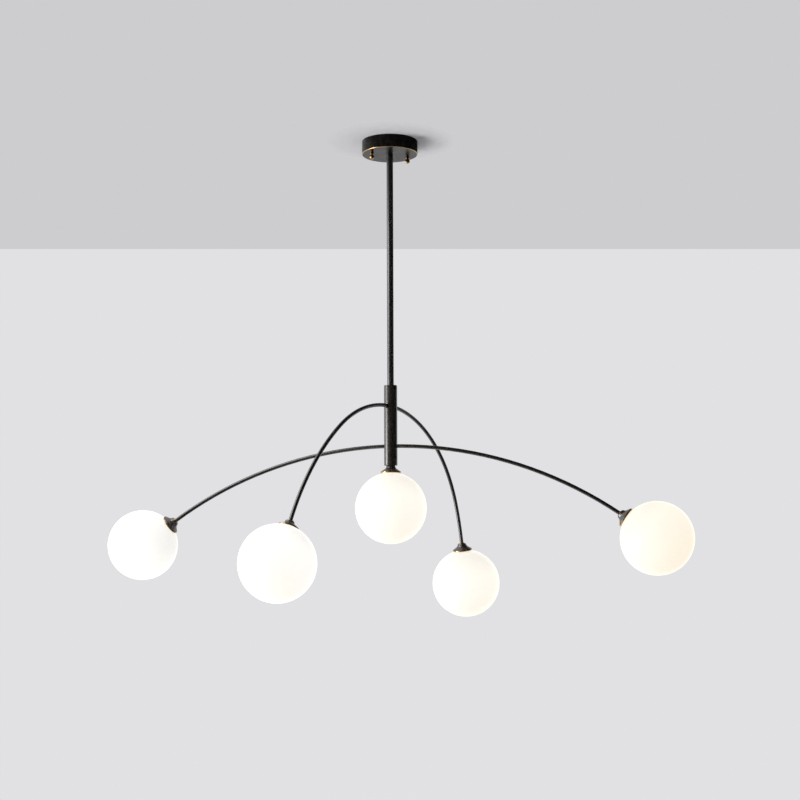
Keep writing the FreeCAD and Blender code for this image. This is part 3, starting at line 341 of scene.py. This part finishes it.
# %% Dress the rod, the hub, the arches, the cups and the canopy
dress(black_metal("black_rod", rough=(0.24, 0.36), black=(0.016, 0.0155, 0.0145),
                  brown=(0.030, 0.026, 0.021)), "stem_tube")
dress(black_metal("black_hub", bare=hole_rim_glints, streak=(900.0, 900.0, 10.0),
                  rough=(0.24, 0.38), bend=1.64),
      "hub_tube", "hub_top_cap", "hub_bottom_cap")
dress(black_metal("black_arches", streak=(420.0, 420.0, 420.0), rough=(0.24, 0.34), sheen=0.8,
                  black=(0.010, 0.009, 0.0075), brown=(0.024, 0.018, 0.013), depth=0.000012),
      "long_arch", "short_arch")
dress(black_metal("black_canopy", streak=(30.0, 30.0, 900.0), cloud=110.0, bare=bare_canopy_edge,
                  rough=(0.20, 0.34), sheen=0.22, bend=1.5, black=(0.010, 0.0096, 0.0088),
                  brown=(0.018, 0.015, 0.012), depth=0.00002), "canopy_cover")
for head in HEADS:
    dress(black_metal("black_cup_" + head, head_place[head], streak=(60.0, 60.0, 900.0),
                      cloud=210.0, bare=bare_lip, rough=(0.20, 0.50),
                      brown=(0.085, 0.055, 0.036), depth=0.00012), "cup_" + head)
print("five cups, two arches, rod, hub and canopy are black")

# %% [markdown]
# ## Brass, steel and the small plain finishes
#
# Polished brass is almost a mirror, so what makes it look like metal is what breaks the mirror:
# slightly hazy patches, faint turning marks and a darker tarnish.  Zinc-plated steel is greyer and
# duller, with a crystal sparkle in its tone.

# %% Brass and steel
def turned_brass(name):
    """Lathe-turned brass, hazy in patches and tarnished a little."""
    bench = Bench(name, Metallic=1.0)
    axes = bench.place()
    haze = bench.noise(axes, 500.0, 4.0)
    marks = bench.noise(bench.stretch(axes, (300.0, 300.0, 6000.0)), 1.0, 1.0)
    tone = bench.mix(bench.ramp(haze, 0.40, 0.66), (0.70, 0.46, 0.21), (0.38, 0.22, 0.09))
    bench.feed(bench.shader.inputs["Base Color"], tone)
    bench.feed(bench.shader.inputs["Roughness"], bench.ramp(haze, 0.3, 0.7, 0.22, 0.38))
    bench.relief(marks, 0.00002)
    return bench.material


def zinc_steel(name, tone=(0.56, 0.57, 0.58)):
    """Plated steel with a faint crystal pattern."""
    bench = Bench(name, Metallic=1.0)
    axes = bench.place()
    cell = bench.add("TexVoronoi", Vector=axes, Scale=900.0, output=1)
    haze = bench.noise(axes, 260.0, 3.0)
    pale = tuple(min(1.0, channel * 1.25) for channel in tone)
    bench.feed(bench.shader.inputs["Base Color"], bench.mix(bench.ramp(cell, 0.2, 0.8), tone, pale))
    bench.feed(bench.shader.inputs["Roughness"], bench.ramp(haze, 0.3, 0.7, 0.26, 0.42))
    bench.relief(haze, 0.00003)
    return bench.material


# %% Moulded and fired bodies, and the earth lead's sleeve
def plain_body(name, colour, rough, bumps=1500.0, depth=0.00002, **constants):
    """A moulded or fired body: even colour with a soft cloud, and a fine skin."""
    bench = Bench(name, **constants)
    axes = bench.place()
    cloud = bench.noise(axes, 120.0, 3.0)
    shade = tuple(channel * 0.86 for channel in colour)
    tone = bench.mix(bench.ramp(cloud, 0.35, 0.7), colour, shade)
    bench.feed(bench.shader.inputs["Base Color"], tone)
    skin = bench.noise(axes, bumps, 2.0)
    dull = bench.ramp(skin, 0.3, 0.7, rough - 0.06, rough + 0.06)
    bench.feed(bench.shader.inputs["Roughness"], dull)
    bench.relief(skin, depth)
    return bench.material


def striped_sleeve(name):
    """An earth lead's skin: green with a yellow stripe that winds along it."""
    bench = Bench(name, Roughness=0.42, IOR=1.5)
    axes = bench.place()
    wave = bench.add("TexWave", {"bands_direction": "DIAGONAL"}, Vector=axes, Scale=55.0,
                     Distortion=0.6)
    yellow = bench.ramp(wave, 0.62, 0.70)
    bench.feed(bench.shader.inputs["Base Color"],
               bench.mix(yellow, (0.035, 0.20, 0.045), (0.72, 0.56, 0.04)))
    bench.relief(bench.noise(axes, 1800.0, 2.0), 0.00001)
    return bench.material


# %% Dress the fittings
brass = turned_brass("brass")
steel = zinc_steel("steel")
dress(brass, "ball_nut_left", "ball_nut_right", "arm_nipples", "bottom_nipple", "earth_screw")
dress(steel, "ceiling_bracket", "bracket_studs", "stud_nuts", "earth_lug", "terminal_screws",
      "stem_nipple", "stem_nuts", "stem_washer", "stem_plugs", "hub_nipple", "hub_nut",
      "hub_lower_nut", "cup_nuts", "holder_plates")
dress(zinc_steel("black_steel", (0.03, 0.03, 0.032)), "hub_set_screws")
dress(plain_body("nylon", (0.78, 0.77, 0.72), 0.42), "terminal_block")
dress(plain_body("sleeve", (0.80, 0.77, 0.72), 0.5), "stem_lead", "hub_leads", "long_arch_leads",
      "short_arch_leads")
dress(striped_sleeve("earth_sleeve"), "earth_lead")
dress(plain_body("crimp_cover", (0.66, 0.63, 0.56), 0.45), "wire_connectors")
steatite = plain_body("steatite", (0.84, 0.83, 0.79), 0.62, 2200.0, 0.00003)
rubber = plain_body("clear_rubber", (0.78, 0.77, 0.74), 0.55, Subsurface_Weight=0.2)
for head in HEADS:
    dress(steatite, "lampholder_" + head)
    dress(rubber, "seal_" + head)
print("brass, steel, ceramic, nylon and rubber are on")

# %% [markdown]
# ## Opal glass, lit from inside
#
# A milk-white glass globe spreads its lamp's light so evenly that it looks flat.  What keeps it
# round is a little studio light on top: the side towards the big lamp is pure white, and the far
# side shows the warmer glow of its own lamp.  So the glow stays just below white and a little warm.
# The glow also carries painted shade: it is dimmer beside the cup, warmer towards the far end, and
# warmer on the globes farther from the big lamp.
# The body under it is a middle grey, because the studio light on a white one, added to the glow,
# would wash the whole disc out.

# %% Opal glass
GLOBE_RADIUS = 0.075
GLOW = 0.95
CUP_SHADE_GLOW = 0.82             # share of the glow that is left beside the cup, a painted shade
EVEN_BAND = 0.02            # up to this height above and below the middle the glow is even, with no painted shade
FAR_SHADE_REACH = 0.072           # and at this depth below it the far tint of painted shade is full
COOL_GLOW = (1.0, 0.982, 0.940)
WARM_GLOW = (1.0, 0.925, 0.790)
# painted shade: the tint that the glow takes on at the globe's far end
FAR_SHADE_TINT = (1.0, 0.965, 0.93)
# painted shade: how far each globe's glow goes from cool to warm, more for globes farther from the
# big lamp
SHADE_WARMTH = {"left": 0.0, "front": 0.1, "centre": 0.6, "back": 0.6, "right": 1.0}
MILK = (0.30, 0.30, 0.297)
MILK_CLOUD = (0.32, 0.317, 0.308)


def opal_glass(name, matrix, shade_warmth):
    """Milk glass that glows, with painted shade in the glow: dimmer towards the cup, warmer towards
    the far end, and warmer on globes farther from the big lamp.
    """
    bench = Bench(name, Roughness=0.30, IOR=1.5, Specular_IOR_Level=0.15)
    axes = bench.place(matrix)
    height = across(bench, axes)[1]
    cloud = bench.noise(axes, 14.0, 2.0)
    near = tuple(cool + (warm - cool) * shade_warmth for cool, warm in zip(COOL_GLOW, WARM_GLOW))
    far = tuple(channel * warm for channel, warm in zip(near, FAR_SHADE_TINT))
    # painted shade: the glow dims from the even band towards the cup
    glow = bench.maths("MULTIPLY", bench.ramp(height, EVEN_BAND, GLOBE_RADIUS, GLOW, GLOW * CUP_SHADE_GLOW),
                       bench.ramp(cloud, 0.3, 0.7, 0.985, 1.015))
    bench.fill(bench.shader, {
        "Base_Color": bench.mix(bench.ramp(cloud, 0.3, 0.7), MILK, MILK_CLOUD),
        "Emission_Color": bench.mix(bench.ramp(height, -EVEN_BAND, -FAR_SHADE_REACH), near, far),
        "Emission_Strength": glow})
    return bench.material


# %% The lamps in them
ENVELOPE_END = 0.0515       # heights on a lamp, from the globe's centre
PINS_FROM = 0.0626


def lamp_capsule(name, matrix):
    """A bright milky envelope on a dull base with two metal pins, along the head's axis."""
    bench = Bench(name)
    axes = bench.place(matrix)
    height = across(bench, axes)[1]
    lit = bench.ramp(height, ENVELOPE_END, ENVELOPE_END - SOFT_EDGE)
    pins = bench.ramp(height, PINS_FROM, PINS_FROM + FINE_EDGE)
    skin = bench.mix(lit, (0.80, 0.79, 0.75), (0.9, 0.9, 0.88))
    bench.feed(bench.shader.inputs["Base Color"], bench.mix(pins, skin, (0.62, 0.61, 0.58)))
    bench.feed(bench.shader.inputs["Metallic"], pins)
    dull = bench.ramp(bench.noise(axes, 900.0), 0.3, 0.7, 0.44, 0.56)
    bench.feed(bench.shader.inputs["Roughness"], bench.ramp(lit, 0.0, 1.0, dull, 0.2))
    bench.fill(bench.shader, {"Emission_Color": WARM_GLOW, "Emission_Strength": lit})
    return bench.material


for head in HEADS:
    dress(lamp_capsule("capsule_" + head, head_place[head]), "bulb_" + head)
print("five lamps are lit")

# %% [markdown]
# ## Surfaces from a formula
#
# A globe, its neck and a screw are all one kind of surface: a profile turned about an axis.
# The profile is an array of radii and heights, the turn is an array of angles, and numpy
# multiplies the two into a grid of points.  A thread is the same grid with a ripple whose phase
# climbs with the angle, so it closes on itself after each turn.

# %% Move a grid, and make a mesh of it
def placed(grid, matrix):
    """Every point of a grid carried by a matrix."""
    turn = np.array(matrix.to_3x3())
    return grid @ turn.T + np.array(matrix.translation)


def surface(name, grids, material, body):
    """Closed bands of quads through (rows, turns, 3) grids, as one piece, shaded smooth."""
    points, quads, first = [], [], 0
    for grid in grids:
        rows, turns = grid.shape[:2]
        index = first + np.arange(rows * turns).reshape(rows, turns)
        beside = np.roll(index, -1, axis=1)
        ring = np.stack([index[:-1], beside[:-1], beside[1:], index[1:]], axis=-1)
        quads.append(ring.reshape(-1, 4))
        points.append(grid.reshape(-1, 3))
        first += rows * turns
    mesh = bpy.data.meshes.new(name)
    mesh.from_pydata(np.concatenate(points).tolist(), [], np.concatenate(quads).tolist())
    shell = bmesh.new()
    shell.from_mesh(mesh)
    bmesh.ops.remove_doubles(shell, verts=shell.verts, dist=1e-6)
    bmesh.ops.recalc_face_normals(shell, faces=shell.faces)
    shell.to_mesh(mesh)
    shell.free()
    mesh.shade_smooth()
    mesh.materials.append(material)
    piece = put(name, mesh)
    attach(piece, body)
    return piece


# %% A turned profile, and the ripple of a thread
def turned(radii, heights, turns=96):
    """Grid of a profile turned about Z: x = r cos a, y = r sin a, z = height."""
    angles = np.linspace(0.0, 2.0 * math.pi, turns, endpoint=False)
    x = radii[:, None] * np.cos(angles)
    y = radii[:, None] * np.sin(angles)
    z = np.broadcast_to(heights[:, None], x.shape)
    return np.stack([x, y, z], axis=-1)


def ripple(heights, turns, pitch, low, high, depth):
    """How far a thread cuts in: depth times half of 1 less the cosine of height less angle.

    The height is in pitches and the angle in turns.  The cut fades out over a pitch at each end.
    """
    angles = np.linspace(0.0, 1.0, turns, endpoint=False)
    wave = 0.5 - 0.5 * np.cos(2.0 * math.pi * (heights[:, None] / pitch - angles[None, :]))
    fade = np.clip((heights - low) / pitch, 0.0, 1.0) * np.clip((high - heights) / pitch, 0.0, 1.0)
    return depth * wave * fade[:, None]


# %% [markdown]
# ## Globes with screw necks
#
# A blown globe has a wall of about three millimetres and a short neck with a coarse rounded
# thread, moulded while the glass is soft.  The profile runs from the bottom of the outside, over
# the shoulder, up the threaded neck, over the fire-polished lip and back down inside.  The neck is
# hidden while the globe is screwed in, and shows as soon as it is lowered to change a lamp.

# %% The globe's profile
GLASS_WALL = 0.0028
NECK_RADIUS = 0.0126
NECK_BORE = 0.0102
NECK_END = 0.0803
THREAD_START = 0.0741
GLASS_PITCH = 0.0030
GLASS_THREAD = 0.0007
FIRE_POLISH = 0.0010
SHOULDER = 0.0003           # the soft step from the sphere up to the neck
LIP_START = NECK_END - FIRE_POLISH


def globe_profile():
    """Radii and heights: outer sphere, neck, rounded lip, bore and inner sphere."""
    start = math.asin(NECK_RADIUS / GLOBE_RADIUS)
    outer = np.linspace(math.pi, start, 120)
    neck = np.linspace(GLOBE_RADIUS * math.cos(start) + SHOULDER, LIP_START, 30)
    lip = np.linspace(0.0, math.pi, 9)
    lip_radius = (NECK_RADIUS - NECK_BORE) / 2.0
    inner_radius = GLOBE_RADIUS - GLASS_WALL
    finish = math.asin(NECK_BORE / inner_radius)
    inner = np.linspace(finish, math.pi, 90)
    radii = np.concatenate([
        GLOBE_RADIUS * np.sin(outer),
        np.full(neck.shape, NECK_RADIUS),
        NECK_BORE + lip_radius + lip_radius * np.cos(lip),
        np.full(3, NECK_BORE),
        inner_radius * np.sin(inner),
    ])
    heights = np.concatenate([
        GLOBE_RADIUS * np.cos(outer),
        neck,
        LIP_START + FIRE_POLISH * np.sin(lip),
        np.linspace(LIP_START, inner_radius * math.cos(finish), 5)[1:-1],
        inner_radius * np.cos(inner),
    ])
    return radii, heights


# %% Blow five globes
def blown_globe():
    """Grid of a globe about its own centre: the turned profile, less a ripple on its neck."""
    radii, heights = globe_profile()
    grid = turned(radii, heights)
    on_neck = (radii > NECK_RADIUS - 1e-6) & (heights > THREAD_START) & (heights < NECK_END)
    cut = ripple(heights, grid.shape[1], GLASS_PITCH, THREAD_START, LIP_START, GLASS_THREAD)
    cut = np.where(on_neck[:, None], cut, 0.0)
    grid[..., :2] *= 1.0 - (cut / np.maximum(radii, 1e-4)[:, None])[..., None]
    return grid


globe = blown_globe()
for head in HEADS:
    glass = opal_glass("opal_" + head, head_place[head], SHADE_WARMTH[head])
    grid = placed(globe, head_place[head])
    piece = surface("opal_globe_" + head, [grid], glass, "globe_" + head)
    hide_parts("globe_" + head)
print("five globes of", len(piece.data.polygons), "faces")

# %% [markdown]
# ## Screw threads
#
# Inside the canopy the lamp hangs on real screws: two M4 studs for the ball nuts and a hollow M10
# screw for the rod.  They come into view when the canopy is let down.  A second hollow screw joins
# the rod to the hub, and a narrower brass one holds the lowest cup.  A smooth bar would look like a
# toy there, so each gets its true pitch: the profile is turned, and the ripple cuts it.

# %% A threaded bar
STUD_AT = 0.042
STUD_RADIUS = 0.0020
STUD_PITCH = 0.0007
STUD_DEPTH = 0.00038
BRACKET_TURN = math.radians(36.5)

WIDE_SCREW = (0.00495, 0.0032)      # outer radius and bore
NARROW_SCREW = (0.00395, 0.0019)
SCREW_PITCH = 0.0010
SCREW_DEPTH = 0.00045
THREAD_ROWS = 8                     # rows of points to a turn


def threaded(radius, low, high, pitch, depth, bore=0.0, turns=40):
    """Grid of a screw: a turned bar with bevelled ends, less a ripple.

    The band closes on the screw's axis, or round its bore where it has one.
    """
    bevel = depth * 1.2
    side = np.linspace(low + bevel, high - bevel, int((high - low) / pitch * THREAD_ROWS))
    cut = ripple(side, turns, pitch, low, high, depth)
    ends = np.array([bore, radius - bevel]), np.array([radius - bevel, bore])
    radii = np.concatenate([ends[0], np.full(side.shape, radius), ends[1]])
    heights = np.concatenate([[low, low], side, [high, high]])
    if bore > 0.0:
        radii, heights = np.append(radii, bore), np.append(heights, low)
    grid = turned(radii, heights, turns)
    share = np.ones(grid.shape[:2])
    share[2:2 + len(side)] -= cut / radius
    grid[..., :2] *= share[..., None]
    return grid


# %% Put the screws where the frame has them
def reach(node):
    """The lowest and highest z of a CAD node, to a hundredth of a millimetre."""
    return [round(float(corner[2]), 5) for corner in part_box(node)]


bracket_way = Vector((math.cos(BRACKET_TURN), math.sin(BRACKET_TURN), 0.0))
stud = threaded(STUD_RADIUS, *reach("bracket_studs"), STUD_PITCH, STUD_DEPTH)
studs = [placed(stud, Matrix.Translation(bracket_way * STUD_AT * way)) for way in (-1.0, 1.0)]
piece = surface("threaded_studs", studs, steel, "root")
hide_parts("bracket_studs")
print("two studs, z", reach("bracket_studs"))

for name, node, (radius, bore), metal, slot in (
        ("rod_screw", "stem_nipple", WIDE_SCREW, steel, "zinc_steel"),
        ("hub_screw", "hub_nipple", WIDE_SCREW, steel, "zinc_steel"),
        ("lowest_screw", "bottom_nipple", NARROW_SCREW, brass, "brass")):
    screw = threaded(radius, *reach(node), SCREW_PITCH, SCREW_DEPTH, bore, 64)
    piece = surface(name, [screw], metal, "root")
    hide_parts(node)
    print("%-12s %d faces, z" % (name, len(piece.data.polygons)), reach(node))

# %% [markdown]
# ## The room
#
# The picture has a grey ceiling above a paler wall, with a straight line between them.  A plane
# facing the camera could carry both tones, but the canopy needs a real ceiling to throw its soft
# shadow on.  So there are three plain planes: ceiling, wall and floor.  Each shows its written
# tone to the camera, keeps part of the real light so that shadows stay, and lets the camera look
# through from behind, so that the lamp can be seen from every side.

# %% Tones, paints and places of the room
CEILING_TONE = (0.610, 0.610, 0.624)
WALL_TONE = (0.753, 0.753, 0.769)
CEILING_PAINT = (0.90, 0.90, 0.915)
WALL_PAINT = (0.45, 0.45, 0.46)
SHADOW_FADE = (0.075, 0.14)         # distances from the rod over which the shadow dies away
CEILING_LIFT = 0.15
FLOOR_SHARE = 0.4
FLOOR_LIFT = 0.7
EDGE_ROW = 249.0                    # the picture's row where ceiling and wall meet
FLOOR_DEPTH = 2.6
ROOM = 9.0


def sight(column, row):
    """The direction from the camera through a place in the picture."""
    aside = (column - PICTURE / 2.0) / FOCAL_PIXELS
    below = (row - PICTURE / 2.0) / FOCAL_PIXELS
    return ahead + right * aside - upward * below


# %% A finish for ceiling, wall and floor
def seen_directly(tree):
    """1 for what the camera sees, also in a mirror or through glass, and 0 for scattered light."""
    path = tree.nodes.new("ShaderNodeLightPath")
    direct = path.outputs["Is Camera Ray"]
    for ray in ("Is Glossy Ray", "Is Transmission Ray"):
        either = tree.nodes.new("ShaderNodeMath")
        either.operation = "MAXIMUM"
        tree.links.new(direct, either.inputs[0])
        tree.links.new(path.outputs[ray], either.inputs[1])
        direct = either.outputs[0]
    return direct


def room_surface(name, tone, paint, lit=0.0, fade=None, lift=0.0):
    """A plane's finish: a flat tone for the camera, and clear from behind.

    lit is the share of real light that the camera sees in place of the tone, and lift is how much
    of the tone is added to that light.  With fade, the share is 1 within the first distance from
    the rod and falls to lit at the second.
    """
    bench = Bench(name)
    tree = bench.tree
    tree.nodes.remove(bench.shader)
    diffuse = bench.add("BsdfDiffuse", Color=paint)
    flat = bench.add("Emission", Color=tone, Strength=1.0)
    lifted = tree.nodes.new("ShaderNodeAddShader")
    bench.feed(lifted.inputs[0], diffuse)
    bench.feed(lifted.inputs[1], bench.add("Emission", Color=tone, Strength=lift))
    share = lit
    if fade is not None:
        share = bench.ramp(across(bench, bench.place())[0], *fade, 1.0, lit)
    seen = bench.blend(share, flat, lifted.outputs[0])
    chosen = bench.blend(seen_directly(tree), diffuse, seen)
    from_behind = bench.add("NewGeometry", output=6)
    finish = bench.blend(from_behind, chosen, bench.add("BsdfTransparent"))
    tree.links.new(finish, tree.nodes["Material Output"].inputs["Surface"])
    return bench.material


# %% Build the room
def plane(name, corners, material):
    """One flat quad, facing the side from which its corners run anticlockwise."""
    mesh = bpy.data.meshes.new(name)
    mesh.from_pydata([tuple(corner) for corner in corners], [], [(0, 1, 2, 3)])
    mesh.materials.append(material)
    put(name, mesh)


edge_ends = []
for column in (0.0, float(PICTURE)):
    ray = sight(column, EDGE_ROW)
    edge_ends.append(CAMERA_PLACE + ray * (-CAMERA_PLACE.z / ray.z))
edge_way = (edge_ends[1] - edge_ends[0]).normalized()
back_left = edge_ends[0] - edge_way * ROOM
back_right = edge_ends[1] + edge_way * ROOM
to_camera = Vector((edge_way.y, -edge_way.x, 0.0)) * ROOM * 2.0
front_left, front_right = back_left + to_camera, back_right + to_camera
drop = Vector((0.0, 0.0, -FLOOR_DEPTH))
plane("ceiling", [back_left, back_right, front_right, front_left],
      room_surface("ceiling_paint", CEILING_TONE, CEILING_PAINT, fade=SHADOW_FADE, lift=CEILING_LIFT))
plane("wall", [back_left + drop, back_right + drop, back_right, back_left],
      room_surface("wall_paint", WALL_TONE, WALL_PAINT))
plane("floor", [corner + drop for corner in (back_left, front_left, front_right, back_right)],
      room_surface("floor_paint", WALL_TONE, WALL_PAINT, lit=FLOOR_SHARE, lift=FLOOR_LIFT))
print("the wall is %.2f m behind the lamp" % abs(edge_ends[0].y))

# %% [markdown]
# ## Studio light
#
# The highlights say where the light was.  The hub is brightest at 0.65 of its radius to the left,
# where its surface leans 40 degrees, and a mirror turns that into a lamp 80 degrees to the left of
# the camera.  The highlight fades towards the canopy, so the lamp's top edge is just below the
# ceiling.  The rest of the hub is almost black: nothing bright stood on the camera's side.
# Photographers hang black cloth there for exactly this look, and so does this scene.  Its cloth is
# seen only by reflections, so that it darkens nothing else.

# %% Lamps
MIDDLE = Vector((0.0, 0.0, -0.55))
UP = Vector((0.0, 0.0, 1.0))


def beside_camera(turn, distance, rise):
    """A place seen from the lamp's middle: degrees to the camera's right, metres out and up."""
    turn = math.radians(turn)
    outwards = level_right * math.sin(turn) - flat_ahead * math.cos(turn)
    return MIDDLE + distance * outwards + rise * UP


def softbox(name, place, shines, width, height, radiance):
    """A rectangular lamp of a given brightness that shines one way; no camera sees it."""
    data = bpy.data.lights.new(name, "AREA")
    data.shape = "RECTANGLE"
    data.size = width
    data.size_y = height
    data.energy = math.pi * width * height * radiance
    light = put(name, data)
    light.matrix_world = upright(place, -shines)
    light.visible_camera = False
    print("%-5s %.0f W at %s" % (name, data.energy, [round(number, 2) for number in place]))


softbox("key", beside_camera(turn=-78.0, distance=2.6, rise=-0.85), shines=flat_ahead.cross(UP),
        width=1.3, height=2.2, radiance=6.5)
softbox("top", beside_camera(turn=-72.0, distance=1.15, rise=0.51), shines=-UP,
        width=1.2, height=1.0, radiance=2.6)

# %% Black cloth for the reflections
CLOTH_FROM = -56.0              # degrees to the camera's right
CLOTH_TO = 165.0
CLOTH_OUT = 2.3
CLOTH_UP = 0.5495
CLOTH_DOWN = 1.95
CLOTH_CORNER = 0.25
BLACK_CLOTH = (0.02, 0.02, 0.02)


def black_cloth():
    """A tent round part of the lamp, for each turn t and each rise e from -90 to 90 degrees.

    It lies cos^c e times its reach out, in the direction t, and sin^c e times its height up or
    down.  A small power c squares the tent off, so that its roof lies just under the ceiling.
    """
    turns = np.radians(np.linspace(CLOTH_FROM, CLOTH_TO, 36))
    rises = np.radians(np.linspace(-90.0, 90.0, 25))
    turn, rise = np.meshgrid(turns, rises)
    out = CLOTH_OUT * np.clip(np.cos(rise), 0.0, 1.0) ** CLOTH_CORNER
    height = np.where(rise > 0.0, CLOTH_UP, -CLOTH_DOWN) * np.abs(np.sin(rise)) ** CLOTH_CORNER
    aside, front = np.array(level_right), -np.array(flat_ahead)
    grid = (out * np.sin(turn))[..., None] * aside + (out * np.cos(turn))[..., None] * front
    grid[..., 2] += height
    grid += np.array(MIDDLE)
    index = np.arange(grid[..., 0].size).reshape(grid.shape[:2])
    quads = np.stack([index[:-1, :-1], index[:-1, 1:], index[1:, 1:], index[1:, :-1]], axis=-1)
    mesh = bpy.data.meshes.new("black_cloth")
    mesh.from_pydata(grid.reshape(-1, 3).tolist(), [], quads.reshape(-1, 4).tolist())
    mesh.materials.append(Bench("black_cloth", Base_Color=BLACK_CLOTH, Roughness=0.9).material)
    cloth = put("black_cloth", mesh)
    for ray in ("camera", "diffuse", "transmission", "shadow", "volume_scatter"):
        setattr(cloth, "visible_" + ray, False)
    print("black cloth of", len(mesh.polygons), "faces")


black_cloth()

# %% Room light
ROOM_LIGHT = 0.38               # the room as it lights the lamp; the camera sees it at 1
world = bpy.data.worlds.new("studio")
world.use_nodes = True
bpy.context.scene.world = world
air = world.node_tree
background = air.nodes["Background"]
background.inputs["Color"].default_value = (*WALL_TONE, 1.0)
strength = air.nodes.new("ShaderNodeMapRange")
strength.inputs["To Min"].default_value = ROOM_LIGHT
strength.inputs["To Max"].default_value = 1.0
air.links.new(seen_directly(air), strength.inputs["Value"])
air.links.new(strength.outputs[0], background.inputs["Strength"])
bpy.context.scene.view_settings.view_transform = "Standard"
print("the lamps are on")
